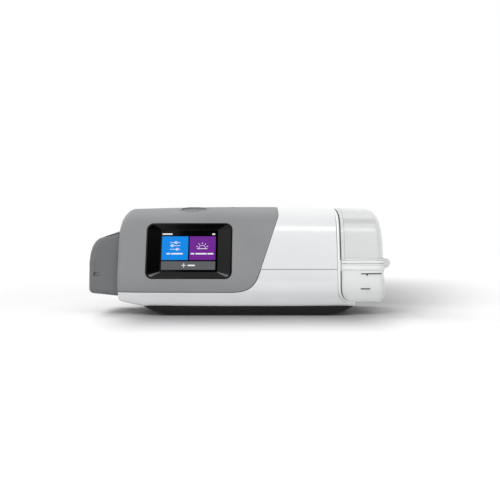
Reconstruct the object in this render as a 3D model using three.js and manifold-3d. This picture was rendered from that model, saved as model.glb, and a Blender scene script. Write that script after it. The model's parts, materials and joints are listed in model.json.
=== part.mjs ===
// A bedside home ventilator with a built-in humidifier: a rounded case with a colour screen in front,
// a hinged filter cover on the left end and a clear water tub that slides out of the right end.
// Millimetres, +Z up, -Y the front with the screen, +X towards the tub. The origin is on the table,
// under the middle of the whole object.
import * as THREE from "three";
import { mergeVertices } from "three/addons/utils/BufferGeometryUtils.js";
import Module from "manifold-3d";

// Overall case form
const frontMost = -69.25;
const caseBack = 60.75;
const caseBottom = 8;
const caseTop = 94.5;
const caseLeft = -104.3;
const tubRight = 119.8;
const wall = 2.4;
const frontBulge = 5;
const backBulge = 3;
const topCrown = 2;
const seamGap = 0.3;
const fitGap = 0.3;
const cutOverrun = 4;

// Side profile of the case, as heights and set-backs from the front-most and rear-most lines
const undercutDepth = 9;
const chinLow = 20.5;
const chinLowSetback = 1.6;
const chinHigh = 35;
const faceTopHeight = 70;
const faceTiltDegrees = 14;
const shoulderReach = 20;
const shoulderRise = 9;
const shoulderEndY = -44;
const shoulderEndHeight = 87.6;
const crownLead = 12;
const crownLeadRise = 3.6;
const crownPeakY = 5;
const crownPeakLead = 22;
const rearCrownY = 38;
const rearCrownHeight = 90.6;
const rearCrownDrop = 1.6;
const rearWallHigh = 64;
const rearWallHighSetback = 2.4;
const rearShoulderReach = 14;
const rearWallLow = 30;
const rearFootSetback = 8;

// Rounding of the left end and of the tub end
const leftPlanRadius = 6;
const leftTopReach = 8;
const leftTopDrop = 16;
const leftBottomReach = 24;
const leftBottomRise = 5;
const rightPlanRadius = 7;
const rightTopReach = 10;
const rightTopDrop = 38;
const rightBottomReach = 4;
const rightBottomRise = 4;
const flatRound = 1.2;
const evenRound = 2;
const squareRound = 3.2;

// Front-view line between the grey wrap and the white housings
const wrapLow = 20.2;
const wrapCurveStartX = -9;
const wrapCurveControlX = 8;
const wrapCurveEndX = 15;
const wrapCurveEndHeight = 37;
const wrapTopX = 30.8;
const wrapTopHeight = 84;
const wrapCurveShare = 0.62;
const seamHeight = 39.2;

// Front-view line where the body ends and the tub starts
const bodyEndX = 79.4;
const bodyEndLow = 25;
const tongueHeight = 10.9;
const tongueTipX = 92.2;
const bezelWidth = 2.7;
const bezelDepth = 3.6;
const tubGap = 0.7;

// Black base tray, feet and case screws
const baseLeftInset = 21;
const baseTopLeft = caseLeft + baseLeftInset;
const baseTopRight = 94.9;
const baseTopFront = -59.2;
const baseTopBack = 52.6;
const baseCornerRadius = 10;
const baseMidHeight = 3.2;
const baseMidEndInset = 5;
const baseMidSideInset = 1;
const baseLowEndInset = 12;
const baseLowSideInset = 3;
const baseBottom = 0.8;
const baseWall = 2;
const footRadius = 6.5;
const footHeight = 1.5;
const footSpanX = 118;
const footSpanY = 74;
const footCentreX = 6;
const footCentreY = -4;
const screwHeadRadius = 2.8;
const screwHeadHeight = 1.6;
const screwShankRadius = 1.5;
const screwLength = 14.5;
const screwSpanX = 96;
const screwSpanY = 97.5;
const screwCentreY = -3.25;
const screwBossRadius = 4;
const screwBossTop = 17;
const screwRecessDepth = 2;
const labelRecessWidth = 60;
const labelRecessDepth = 34;
const labelRecessCut = 0.4;

// Screen stack, in its own leaning frame
const screenCentreX = -43.8;
const screenCentreHeight = 54.6;
const screenWidth = 71.6;
const screenHeight = 47.6;
const screenCorner = 6;
const screenFrameRim = 1.2;
const screenBevelDepth = 1.2;
const pictureWidth = 48;
const pictureHeight = 36;
const glassMargin = 2;
const glassThickness = 1.2;
const panelThickness = 2.6;
const screenFrameDepth = screenBevelDepth + glassThickness + panelThickness + fitGap + fitGap;
const panelMargin = 1;
const bracketThickness = 1.6;
const bracketMargin = 3;
const bracketWindow = 30;
const boardWidth = 82;
const boardHeight = 42;
const boardThickness = 1.6;
const boardStandoff = 2.2;
const shieldWidth = 26;
const shieldHeight = 18;
const shieldThickness = 2.6;
const shieldOffsetX = 20;
const screenRecess = 0.4;

// Start button on top
const buttonX = -41.9;
const buttonY = -27;
const buttonRadius = 11.2;
const buttonHeight = 3.4;
const buttonDish = 1.2;
const buttonDishShare = 0.75;
const buttonTravel = 0.8;
const buttonGap = 0.3;
const ringRadius = 13.2;
const ringHeight = 3;
const ringLip = 1.2;
const ringDrop = 1.1;
const stemRadius = 2;
const stemLength = 3;
const springWire = 0.5;
const springRadius = 5;
const springTurns = 3;
const switchSize = 6;
const switchHeight = 2.6;
const buttonBoardLength = 27;
const buttonBoardWidth = 18;
const buttonBoardThickness = 1.2;
const sensorX = -8;
const sensorY = -20;
const sensorRadius = 1.6;
const sensorLength = 3.2;

// Filter side: cover, hinge, grille and filter
const coverWallX = caseLeft - fitGap;
const coverReach = 25.1;
const coverLeft = coverWallX - coverReach;
const coverBottomInner = 16.2;
const coverBottomOuter = 18.2;
const coverBottomCorner = 5;
const coverShoulderHeight = 42;
const coverShoulderLead = 14;
const coverShoulderInset = 8.2;
const coverShoulderX = coverLeft + coverShoulderInset;
const coverShoulderTop = 65.4;
const coverShoulderReach = 5;
const coverTopInner = 71.4;
const coverFront = -53;
const coverBack = 42;
const coverEdgeRadius = 5;
const coverThickness = 2;
const notchSetback = 4.3;
const notchLength = 6;
const notchHeight = 3.4;
const notchCentreHeight = 34.7;
const notchDepth = 5;
const louvreCount = 7;
const louvreWidth = 2.2;
const louvrePitch = 5.2;
const louvreLow = 26;
const louvreHigh = 42;
const louvreStartY = -2;
const grilleWidth = 60;
const grilleHeight = 40;
const grilleFrame = 4;
const grilleThickness = 2.6;
const grilleCentreY = -6;
const grilleCentreHeight = 42;
const grilleBarCount = 5;
const grilleBarWidth = 1.6;
const filterThickness = 7;
const filterMargin = 3;
const hingeReach = 3.3;
const hingeX = caseLeft - hingeReach;
const hingeY = 45;
const hingePinRadius = 1.1;
const hingeLow = 24;
const hingeHigh = 60;
const knuckleRadius = 2.4;
const knuckleLength = 8;
const hingeGap = 0.3;
const knuckleWebInset = 2;

// Air path inside: muffler, foam, blower and ducts
const mufflerRight = -3.4;
const mufflerFront = -38;
const mufflerBack = 34;
const mufflerLow = 17.6;
const mufflerHigh = 45;
const mufflerWall = 1.8;
const mufflerInletInset = 9;
const mufflerRibCount = 2;
const mufflerRibWidth = 2;
const baffleReachShare = 0.7;
const foamLength = 50;
const foamHeight = 14;
const blowerX = -44;
const blowerY = 6;
const voluteStartRadius = 27;
const voluteEndRadius = 34;
const voluteLow = 47.4;
const voluteSplit = 58;
const voluteHigh = 68;
const voluteWall = 1.8;
const voluteInletRadius = 11;
const voluteOutletWidth = 16;
const voluteOutletReach = 35.6;
const voluteTongueDegrees = 50;
const impellerRadius = 23;
const impellerDisc = 1.2;
const impellerBladeLow = 51;
const impellerBladeHigh = 60;
const impellerBladeThickness = 1;
const impellerBlades = 11;
const impellerEye = 10;
const impellerHub = 4;
const bladeLeanDegrees = 35;
const shaftRadius = 1.5;
const shaftLow = 53;
const shaftHigh = 81.4;
const magnetRadius = 7;
const magnetHeight = 6.4;
const statorInner = 8;
const bearingOuter = 4;
const bearingHeight = 2.2;
const bearingSeatWall = 1.2;
const motorCanRadius = 16.5;
const motorCanHeight = 14.8;
const motorCanWall = 1.4;
const mountRadius = 3.5;
const mountBandHeight = 1.8;
const mountFootHeight = 4.6;
const mountCircle = 38;
const mountCount = 3;
const mountStartDegrees = 20;
const lugHeight = 2.4;
const portBore = 7.5;
const portWall = 1.6;
const sealLip = 2.2;
const ductRoundShare = 0.45;
const elbowCut = 6.3;
const returnY = 29;
const flowSensorLength = 8;
const flowSensorWidth = 9;
const flowSensorHeight = 4;

// Rear: outlet, panel, power inlet and card slot
const outletX = -3;
const outletRadius = 11;
const outletBore = 9;
const outletEnd = 69.25;
const outletFlange = 14;
const outletFlangeThickness = 2;
const outletInnerReach = 3;
const panelLeftInset = 12.3;
const panelLeft = caseLeft + panelLeftInset;
const panelRight = -28;
const panelLow = 22.4;
const panelHigh = 41;
const rearPanelThickness = 4;
const rearPanelInset = 0.5;
const powerX = -43;
const powerHeight = 31.7;
const powerSocketWidth = 14;
const powerSocketHeight = 10.8;
const powerShellWall = 1.6;
const powerDepth = 12;
const powerFloor = 2;
const powerPinRadius = 0.8;
const powerPinLength = 6.5;
const powerPinPitch = 4.4;
const powerPinCount = 3;
const cardX = -75;
const cardSlotWidth = 24.6;
const cardSlotHeight = 2.6;
const cardSocketWidth = 28;
const cardSocketHeight = 6;
const cardSocketDepth = 18;
const cardSlotDepth = 15;
const cardHeight = 31.7;
const cardFlapWidth = 29;
const cardFlapHeight = 10;
const cardFlapThickness = 2;
const cardHingeRadius = 1.6;
const cardPinRadius = 0.7;
const cardPinLength = 33;

// Humidifier bay in the body
const bayLeft = 8.4;
const bayFront = -46.6;
const bayBack = 41;
const bayLow = 11.6;
const bayHigh = 72.6;
const bayWall = 1.6;
const bayFlangeThickness = 2.4;
const heaterLeft = 20;
const heaterRight = 74;
const heaterFront = -34;
const heaterBack = 30;

// Water tub, deck and lid
const tubInnerLeft = 10.4;
const tubClearance = 0.6;
const tubSideWall = 1.8;
const tubBottom = 11.6;
const tubInnerBottom = 16.3;
const tubRim = 42.9;
const tubCornerRadius = 11;
const tubSealThickness = 1.1;
const tubPlateMargin = 2;
const bulkheadThickness = 2.6;
const bulkheadInset = 0.5;
const lidBottom = 43.5;
const flangeProud = 0.8;
const baseFlangeLow = 38;
const lidFlangeHigh = 47.3;
const gripX = 96;
const gripY = -24;
const gripHalfLength = 14;
const gripHalfWidth = 20;
const gripDepth = 1.4;
const gripHeight = 4;
const lidHingeReach = 5.5;
const lidHingeX = tubRight + lidHingeReach;
const lidHingeHeight = 43.7;
const lidBarRadius = 1.8;
const lidKnuckleRadius = 4.4;
const lidHingeFront = -32;
const lidHingeBack = 22;
const lidEarWidth = 3;
const lidKnuckleWidth = 14;
const lidArmThickness = 2.6;
const lidClipMouth = 3;
const lidSideGap = 0.4;

// How finely curves are drawn
const roundSides = 20;
const smallSides = 10;
const curveSteps = 5;
const arcSteps = 3;
const endSteps = 5;
const middleStations = 4;
const springStepsPerTurn = 8;
const springSides = 5;
const spiralSteps = 20;

const tiltRadians = (faceTiltDegrees * Math.PI) / 180;
const quarterTurn = Math.PI / 2;
const fullTurn = Math.PI + Math.PI;
const farLeft = coverLeft - cutOverrun;
const farRight = lidHingeX + lidKnuckleRadius + cutOverrun;
const farFront = frontMost - cutOverrun;
const farBack = outletEnd + cutOverrun;
const farTop = caseTop + cutOverrun;
const farBottom = -cutOverrun;

const wasm = await Module();
wasm.setup();

// Materials
function plastic(color, roughness) {
  return new THREE.MeshStandardMaterial({ color, roughness, metalness: 0 });
}

function metal(color, roughness) {
  return new THREE.MeshStandardMaterial({ color, roughness, metalness: 1 });
}

function clear(color, opacity) {
  return new THREE.MeshStandardMaterial({ color, roughness: 0.2, transparent: true, opacity });
}

const whiteShell = plastic(0xe6e8ea, 0.35);
const greyShell = plastic(0x96979a, 0.5);
const darkGrey = plastic(0x747676, 0.55);
const blackBase = plastic(0x1c1c1c, 0.6);
const blackGloss = plastic(0x101010, 0.15);
const glassBlack = plastic(0x05070a, 0.05);
const innerGrey = plastic(0xb9bcbe, 0.6);
const boardGreen = plastic(0x1f5a3a, 0.6);
const rubber = plastic(0x2a2a2a, 0.9);
const silicone = plastic(0xd9d6cc, 0.7);
const foam = plastic(0x3a3b3d, 1);
const filterWhite = plastic(0xf1f1ee, 0.95);
const steel = metal(0xb9bcc0, 0.3);
const aluminium = metal(0xc9ccd0, 0.35);
const copper = metal(0xb56a3a, 0.4);
const magnetDark = metal(0x4a4a4f, 0.5);
const clearTub = clear(0xe8eceb, 0.45);
const lightGuide = clear(0xf4f6f4, 0.7);

const ventilator = new THREE.Group();

function addPiece(name, solid, material, group = ventilator) {
  const mesh = new THREE.Mesh(geometryFromSolid(solid), material);
  mesh.name = name;
  group.add(mesh);
}

// Solids and the geometry that they come from
function solidFromGeometry(geometry) {
  const bare = geometry.clone();
  bare.deleteAttribute("normal");
  bare.deleteAttribute("uv");
  const merged = mergeVertices(bare);
  return new wasm.Manifold(
    new wasm.Mesh({
      numProp: 3,
      vertProperties: new Float32Array(merged.attributes.position.array),
      triVerts: new Uint32Array(merged.index.array),
    }),
  );
}

function geometryFromSolid(solid) {
  const mesh = solid.getMesh();
  const geometry = new THREE.BufferGeometry();
  geometry.setAttribute("position", new THREE.BufferAttribute(mesh.vertProperties, mesh.numProp));
  geometry.setIndex(new THREE.BufferAttribute(mesh.triVerts, 1));
  return geometry;
}

function union(solids) {
  return solids.reduce((joined, next) => joined.add(next));
}

function cut(solid, holes) {
  return holes.reduce((left, hole) => left.subtract(hole), solid);
}

function moved(solid, matrix) {
  const geometry = geometryFromSolid(solid);
  geometry.applyMatrix4(matrix);
  return solidFromGeometry(geometry);
}

// Rings of matching points, joined side to side, with a flat cap on both ends
function solidFromRings(rings) {
  const count = rings[0].length;
  const positions = rings.flatMap((ring) => ring.flatMap((point) => [point.x, point.y, point.z]));
  const triangles = [];
  for (let ring = 0; ring + 1 < rings.length; ring += 1) {
    for (let i = 0; i < count; i += 1) {
      const a = ring * count + i;
      const b = ring * count + ((i + 1) % count);
      triangles.push(a, b, b + count, a, b + count, a + count);
    }
  }
  const last = (rings.length - 1) * count;
  for (let i = 1; i + 1 < count; i += 1) {
    triangles.push(0, i + 1, i);
    triangles.push(last, last + i, last + i + 1);
  }
  const facesOut = signedVolume(positions, triangles) > 0;
  const geometry = new THREE.BufferGeometry();
  geometry.setAttribute("position", new THREE.Float32BufferAttribute(positions, 3));
  geometry.setIndex(facesOut ? triangles : triangles.toReversed());
  return solidFromGeometry(geometry);
}

function signedVolume(positions, triangles) {
  const corner = (i) => new THREE.Vector3().fromArray(positions, triangles[i] * 3);
  let volume = 0;
  for (let i = 0; i < triangles.length; i += 3) {
    volume += corner(i).dot(corner(i + 1).cross(corner(i + 2)));
  }
  return volume;
}

function boxSolid(low, high) {
  const size = high.map((value, i) => value - low[i]);
  const geometry = new THREE.BoxGeometry(...size);
  geometry.translate(...low.map((value, i) => value + size[i] / 2));
  return solidFromGeometry(geometry);
}

// A cylinder from one point to another
function rodSolid(start, end, radius, sides = smallSides) {
  const from = new THREE.Vector3(...start);
  const to = new THREE.Vector3(...end);
  const along = to.clone().sub(from);
  const geometry = new THREE.CylinderGeometry(radius, radius, along.length(), sides);
  const up = new THREE.Vector3(0, 1, 0);
  geometry.applyQuaternion(new THREE.Quaternion().setFromUnitVectors(up, along.clone().normalize()));
  geometry.translate(...from.lerp(to, 0.5).toArray());
  return solidFromGeometry(geometry);
}

// An upright cylinder about an axis at x, y
function post(x, y, low, high, radius, sides = smallSides) {
  return rodSolid([x, y, low], [x, y, high], radius, sides);
}

function ringPost(x, y, low, high, outer, inner, sides = smallSides) {
  const bore = post(x, y, low - cutOverrun, high + cutOverrun, inner, sides);
  return post(x, y, low, high, outer, sides).subtract(bore);
}

// A profile of radius and height, turned about the upright axis
function latheSolid(points, sides = roundSides) {
  const profilePoints = points.map(([radius, height]) => new THREE.Vector2(radius, height));
  const geometry = new THREE.LatheGeometry(profilePoints, sides);
  geometry.rotateX(quarterTurn);
  return solidFromGeometry(geometry);
}

// An outline drawn in the front view (x, z), pushed from front to back
function frontPrism(shape, front, back) {
  const geometry = new THREE.ExtrudeGeometry(shape, {
    depth: back - front,
    bevelEnabled: false,
    curveSegments: arcSteps,
  });
  geometry.rotateX(quarterTurn);
  geometry.translate(0, back, 0);
  return solidFromGeometry(geometry);
}

// An outline drawn from above (x, y), pushed upwards
function planPrism(shape, low, high) {
  const geometry = new THREE.ExtrudeGeometry(shape, {
    depth: high - low,
    bevelEnabled: false,
    curveSegments: arcSteps,
  });
  geometry.translate(0, 0, low);
  return solidFromGeometry(geometry);
}

function roundedRectangle(width, height, radius, centreX = 0, centreY = 0) {
  const shape = new THREE.Shape();
  const right = centreX + width / 2;
  const left = centreX - width / 2;
  const top = centreY + height / 2;
  const bottom = centreY - height / 2;
  shape.moveTo(left + radius, bottom);
  shape.lineTo(right - radius, bottom);
  shape.absarc(right - radius, bottom + radius, radius, -quarterTurn, 0);
  shape.lineTo(right, top - radius);
  shape.absarc(right - radius, top - radius, radius, 0, quarterTurn);
  shape.lineTo(left + radius, top);
  shape.absarc(left + radius, top - radius, radius, quarterTurn, Math.PI);
  shape.lineTo(left, bottom + radius);
  shape.absarc(left + radius, bottom + radius, radius, Math.PI, Math.PI + quarterTurn);
  return shape;
}

// A rounded rectangle seen from above, between two heights
function planBlock(low, high, radius) {
  const outline = roundedRectangle(
    high[0] - low[0],
    high[1] - low[1],
    radius,
    (high[0] + low[0]) / 2,
    (high[1] + low[1]) / 2,
  );
  return planPrism(outline, low[2], high[2]);
}

// The side profile (y, z) at the middle of the case, from the front edge of the bottom, up and over
function sideProfile() {
  const chinPull = chinLowSetback / 2;
  const faceTopY = frontMost + chinPull + (faceTopHeight - chinHigh) * Math.tan(tiltRadians);
  const chinMiddle = (chinLow + chinHigh) / 2;
  const path = new THREE.Path();
  path.moveTo(frontMost + undercutDepth, caseBottom);
  path.lineTo(frontMost + chinLowSetback, chinLow);
  path.quadraticCurveTo(frontMost - chinPull, chinMiddle, frontMost + chinPull, chinHigh);
  path.lineTo(faceTopY, faceTopHeight);
  path.bezierCurveTo(
    faceTopY + shoulderRise * Math.tan(tiltRadians),
    faceTopHeight + shoulderRise,
    shoulderEndY - shoulderReach / 2,
    shoulderEndHeight - crownLeadRise,
    shoulderEndY,
    shoulderEndHeight,
  );
  path.bezierCurveTo(
    shoulderEndY + crownLead,
    shoulderEndHeight + crownLeadRise,
    crownPeakY - crownPeakLead,
    caseTop,
    crownPeakY,
    caseTop,
  );
  path.bezierCurveTo(
    crownPeakY + crownLead,
    caseTop,
    rearCrownY - crownLead,
    rearCrownHeight + rearCrownDrop,
    rearCrownY,
    rearCrownHeight,
  );
  path.bezierCurveTo(
    rearCrownY + rearShoulderReach,
    rearCrownHeight - rearCrownDrop,
    caseBack - rearWallHighSetback,
    rearWallHigh + rearShoulderReach,
    caseBack - rearWallHighSetback,
    rearWallHigh,
  );
  path.lineTo(caseBack, rearWallLow);
  const footLead = caseBottom + chinLowSetback;
  path.quadraticCurveTo(caseBack, footLead, caseBack - rearFootSetback, caseBottom);
  return path.getPoints(curveSteps);
}

const profile = sideProfile();

// The same profile, moved inwards by an even distance
function insetProfile(inset) {
  return profile.map((point, i) => {
    const before = profile[(i + profile.length - 1) % profile.length];
    const after = profile[(i + 1) % profile.length];
    const middle = inwards(before, point).add(inwards(point, after));
    return point.clone().addScaledVector(middle, (inset + inset) / middle.lengthSq());
  });
}

function inwards(from, to) {
  const along = to.clone().sub(from).normalize();
  return new THREE.Vector2(along.y, -along.x);
}

// How far a rounded corner has come in, at a distance from the end that it closes.
// A squarer corner hugs its two sides for longer before it turns.
function cornerInset(distance, reach, drop, squareness) {
  if (distance >= reach) return 0;
  const share = 1 - Math.max(distance, 0) / reach;
  return Math.max(drop, 0) * (1 - (1 - share ** squareness) ** (1 / squareness));
}

// Front, back, bottom and top of the case at a station along its length
function extents(x, inset) {
  const middle = (caseLeft + tubRight) / 2;
  const bowShare = ((x - middle) / (tubRight - middle)) ** 2;
  const fromLeft = x - caseLeft - inset;
  const fromRight = tubRight - inset - x;
  const leftCorner = (reach, drop, squareness) =>
    cornerInset(fromLeft, reach - inset, drop - inset, squareness);
  const rightCorner = (reach, drop, squareness) =>
    cornerInset(fromRight, reach - inset, drop - inset, squareness);
  const planInset =
    leftCorner(leftPlanRadius, leftPlanRadius, evenRound) +
    rightCorner(rightPlanRadius, rightPlanRadius, evenRound);
  const topInset =
    leftCorner(leftTopReach, leftTopDrop, evenRound) +
    rightCorner(rightTopReach, rightTopDrop, squareRound);
  const bottomInset =
    leftCorner(leftBottomReach + inset, leftBottomRise, flatRound) +
    rightCorner(Math.max(rightBottomReach, inset + seamGap), rightBottomRise, evenRound);
  return {
    front: frontMost + frontBulge * bowShare + planInset,
    back: caseBack - backBulge * bowShare - planInset,
    bottom: caseBottom + bottomInset,
    top: caseTop - topCrown * bowShare - topInset,
  };
}

function placeProfile(points, x, inset) {
  const { front, back, bottom, top } = extents(x, inset);
  const depthShare = (back - front) / (caseBack - frontMost);
  const heightShare = (top - bottom) / (caseTop - caseBottom);
  return points.map((point) => {
    const y = front + (point.x - frontMost) * depthShare;
    const z = bottom + (point.y - caseBottom) * heightShare;
    return new THREE.Vector3(x, y, z);
  });
}

// Stations along the length, close together where an end rounds off
function stations(inset, start, end) {
  const leftEnd = caseLeft + inset;
  const rightEnd = tubRight - inset;
  const leftReach = leftTopReach - inset;
  const rightReach = rightTopReach - inset;
  const found = [];
  for (let i = 1; i <= endSteps; i += 1) {
    const lean = 1 - Math.cos((quarterTurn * i) / endSteps);
    found.push(leftEnd + leftReach * lean, rightEnd - rightReach * lean);
  }
  const flatLeft = caseLeft + leftBottomReach;
  const flatRight = rightEnd - rightReach;
  found.push(flatLeft, (leftEnd + leftReach + flatLeft) / 2);
  for (let i = 1; i < middleStations; i += 1) {
    found.push(flatLeft + ((flatRight - flatLeft) * i) / middleStations);
  }
  const inside = found.filter((x) => x - start > seamGap && end - x > seamGap);
  return [start, ...inside.sort((a, b) => a - b), end];
}

// The case form between two stations, moved inwards by an even distance
function caseForm(inset, start, end) {
  const points = insetProfile(inset);
  return solidFromRings(stations(inset, start, end).map((x) => placeProfile(points, x, inset)));
}

// Where the outer surface lies
function crossings(x, pick, at, read) {
  const ring = placeProfile(profile, x, 0);
  return ring.flatMap((point, i) => {
    const next = ring[(i + 1) % ring.length];
    const a = pick(point);
    const b = pick(next);
    if (a === b || (at - a) * (at - b) > 0) return [];
    return [read(point) + ((read(next) - read(point)) * (at - a)) / (b - a)];
  });
}

function frontAt(x, z) {
  return Math.min(...crossings(x, (point) => point.z, z, (point) => point.y));
}

function backAt(x, z) {
  return Math.max(...crossings(x, (point) => point.z, z, (point) => point.y));
}

function topAt(x, y) {
  return Math.max(...crossings(x, (point) => point.y, y, (point) => point.z));
}

// The region inside the line between the grey wrap and the white housings
function wrapOutline(grow) {
  const rise = (wrapTopX - wrapCurveEndX) / (wrapTopHeight - wrapCurveEndHeight);
  const controlDrop = (wrapCurveEndHeight - wrapLow) * wrapCurveShare;
  const endX = wrapCurveEndX + grow;
  const low = wrapLow - grow;
  const shape = new THREE.Shape();
  shape.moveTo(farLeft, low);
  shape.lineTo(wrapCurveStartX, low);
  shape.bezierCurveTo(
    wrapCurveControlX,
    low,
    endX - rise * controlDrop,
    wrapCurveEndHeight - controlDrop,
    endX,
    wrapCurveEndHeight,
  );
  shape.lineTo(wrapTopX + grow, wrapTopHeight);
  shape.lineTo(wrapTopX + grow, farTop);
  shape.lineTo(farLeft, farTop);
  return shape;
}

// The region left of the body's end, which runs out at the bottom as a tongue under the tub
function bodyRegion(shift) {
  const end = bodyEndX + shift;
  const tip = tongueTipX + shift;
  const shape = new THREE.Shape();
  shape.moveTo(farLeft, farBottom);
  shape.lineTo(tip, farBottom);
  shape.lineTo(tip, tongueHeight);
  shape.quadraticCurveTo(end, tongueHeight, end, bodyEndLow);
  shape.lineTo(end, farTop);
  shape.lineTo(farLeft, farTop);
  return shape;
}

function throughCase(shape) {
  return frontPrism(shape, farFront, farBack);
}

// A slab of everything between two heights
function slab(low, high) {
  return boxSolid([farLeft, farFront, low], [farRight, farBack, high]);
}

// Base tray under the case, with its feet, screws and a bare recess for a label
function baseRing(height, endInset, sideInset) {
  const outline = roundedRectangle(
    baseTopRight - baseTopLeft - endInset - endInset,
    baseTopBack - baseTopFront - sideInset - sideInset,
    baseCornerRadius - sideInset,
    (baseTopRight + baseTopLeft) / 2,
    (baseTopBack + baseTopFront) / 2,
  );
  return outline.getPoints(arcSteps).map((point) => new THREE.Vector3(point.x, point.y, height));
}

function corners(centreX, centreY, spanX, spanY) {
  return [-1, 1].flatMap((sideX) =>
    [-1, 1].map((sideY) => [centreX + (sideX * spanX) / 2, centreY + (sideY * spanY) / 2]),
  );
}

const footPlaces = corners(footCentreX, footCentreY, footSpanX, footSpanY);
const screwPlaces = corners(footCentreX, screwCentreY, screwSpanX, screwSpanY);

function buildBase() {
  const top = caseBottom - seamGap;
  const floorTop = baseBottom + baseWall;
  const outer = solidFromRings([
    baseRing(baseBottom, baseLowEndInset, baseLowSideInset),
    baseRing(baseMidHeight, baseMidEndInset, baseMidSideInset),
    baseRing(top, 0, 0),
  ]);
  const inner = solidFromRings([
    baseRing(floorTop, baseLowEndInset + baseWall, baseLowSideInset + baseWall),
    baseRing(top + cutOverrun, baseWall, baseWall),
  ]);
  const screwBoss = screwBossRadius + baseWall / 2;
  const bosses = screwPlaces.map(([x, y]) => post(x, y, baseBottom, top, screwBoss));
  const clearHole = screwShankRadius + fitGap;
  const headHole = screwHeadRadius + fitGap;
  const headTop = baseBottom + screwRecessDepth + screwHeadHeight;
  const screwHoles = screwPlaces.flatMap(([x, y]) => [
    post(x, y, farBottom, top + cutOverrun, clearHole),
    post(x, y, farBottom, headTop + fitGap, headHole),
  ]);
  const footHoles = footPlaces.map(([x, y]) =>
    post(x, y, farBottom, footHeight + fitGap, footRadius + fitGap, roundSides),
  );
  const label = boxSolid(
    [footCentreX - labelRecessWidth / 2, footCentreY - labelRecessDepth / 2, farBottom],
    [footCentreX + labelRecessWidth / 2, footCentreY + labelRecessDepth / 2, baseBottom + labelRecessCut],
  );
  const tray = cut(outer, [inner]).add(union(bosses));
  addPiece("base_tray", cut(tray, [...screwHoles, ...footHoles, label]), blackBase);
  footPlaces.forEach(([x, y], i) => {
    addPiece(`foot_${i + 1}`, post(x, y, 0, footHeight, footRadius, roundSides), rubber);
  });
  screwPlaces.forEach(([x, y], i) => {
    const headLow = headTop - screwHeadHeight;
    const screw = union([
      post(x, y, headLow, headTop, screwHeadRadius),
      post(x, y, headLow, headTop + screwLength, screwShankRadius),
    ]);
    addPiece(`case_screw_${i + 1}`, screw, steel);
  });
}

// Screen stack: frame, touch glass, display, bracket, main board and radio shield
const screenGroup = new THREE.Group();
const screenHalf = screenWidth / 2;
const screenSlope =
  (frontAt(screenCentreX + screenHalf, screenCentreHeight) -
    frontAt(screenCentreX - screenHalf, screenCentreHeight)) /
  screenWidth;
screenGroup.position.set(
  screenCentreX,
  frontAt(screenCentreX, screenCentreHeight) + screenRecess,
  screenCentreHeight,
);
screenGroup.rotation.set(-tiltRadians, 0, Math.atan(screenSlope), "ZXY");
screenGroup.updateMatrixWorld(true);
ventilator.add(screenGroup);

function screenBlock(width, height, near, far) {
  return boxSolid([-width / 2, near, -height / 2], [width / 2, far, height / 2]);
}

function screenMouth() {
  const rim = screenFrameRim + screenFrameRim;
  const outline = roundedRectangle(screenWidth - rim, screenHeight - rim, screenCorner - screenFrameRim);
  const ring = outline.getPoints(arcSteps);
  const shareX = pictureWidth / (screenWidth - rim);
  const shareZ = pictureHeight / (screenHeight - rim);
  const place = (near, x, z) => ring.map((point) => new THREE.Vector3(point.x * x, near, point.y * z));
  return solidFromRings([
    place(-fitGap, 1, 1),
    place(0, 1, 1),
    place(screenBevelDepth, shareX, shareZ),
    place(screenBevelDepth + fitGap, shareX, shareZ),
  ]);
}

function buildScreen() {
  const glassNear = screenBevelDepth + fitGap;
  const glassWidth = pictureWidth + glassMargin + glassMargin;
  const glassHeight = pictureHeight + glassMargin + glassMargin;
  const pocketWidth = glassWidth + fitGap + fitGap;
  const pocketHeight = glassHeight + fitGap + fitGap;
  const pocketNear = glassNear - fitGap / 2;
  const pocket = screenBlock(pocketWidth, pocketHeight, pocketNear, screenFrameDepth + cutOverrun);
  const body = frontPrism(roundedRectangle(screenWidth, screenHeight, screenCorner), 0, screenFrameDepth);
  addPiece("screen_frame", cut(body, [screenMouth(), pocket]), blackGloss, screenGroup);

  const glassFar = glassNear + glassThickness;
  const glass = screenBlock(glassWidth, glassHeight, glassNear, glassFar);
  addPiece("touch_glass", glass, glassBlack, screenGroup);

  const panelNear = glassFar + fitGap;
  const panelFar = panelNear + panelThickness;
  const panel = screenBlock(glassWidth - panelMargin, glassHeight - panelMargin, panelNear, panelFar);
  addPiece("display_panel", panel, steel, screenGroup);

  const bracketNear = panelFar + fitGap;
  const bracketFar = bracketNear + bracketThickness;
  const bracketWidth = screenWidth + bracketMargin;
  const bracketHeight = screenHeight - bracketMargin;
  const bracket = screenBlock(bracketWidth, bracketHeight, bracketNear, bracketFar);
  const window = screenBlock(bracketWindow, bracketWindow / 2, bracketNear - fitGap, bracketFar + fitGap);
  addPiece("display_bracket", bracket.subtract(window), innerGrey, screenGroup);

  const boardNear = bracketFar + boardStandoff;
  const boardFar = boardNear + boardThickness;
  const spanX = screenWidth - bracketMargin - bracketMargin;
  const spanZ = boardHeight - bracketMargin - bracketMargin;
  const standoffs = corners(0, 0, spanX, spanZ).map(([x, z]) =>
    rodSolid([x, boardFar, z], [x, bracketFar + fitGap, z], boardStandoff / 2),
  );
  const board = union([screenBlock(boardWidth, boardHeight, boardNear, boardFar), ...standoffs]);
  addPiece("main_board", board, boardGreen, screenGroup);

  const shieldNear = boardFar + fitGap;
  const shieldHalf = shieldWidth / 2;
  const shield = boxSolid(
    [shieldOffsetX - shieldHalf, shieldNear, -shieldHeight / 2],
    [shieldOffsetX + shieldHalf, shieldNear + shieldThickness, shieldHeight / 2],
  );
  addPiece("radio_shield", shield, steel, screenGroup);
}

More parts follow.
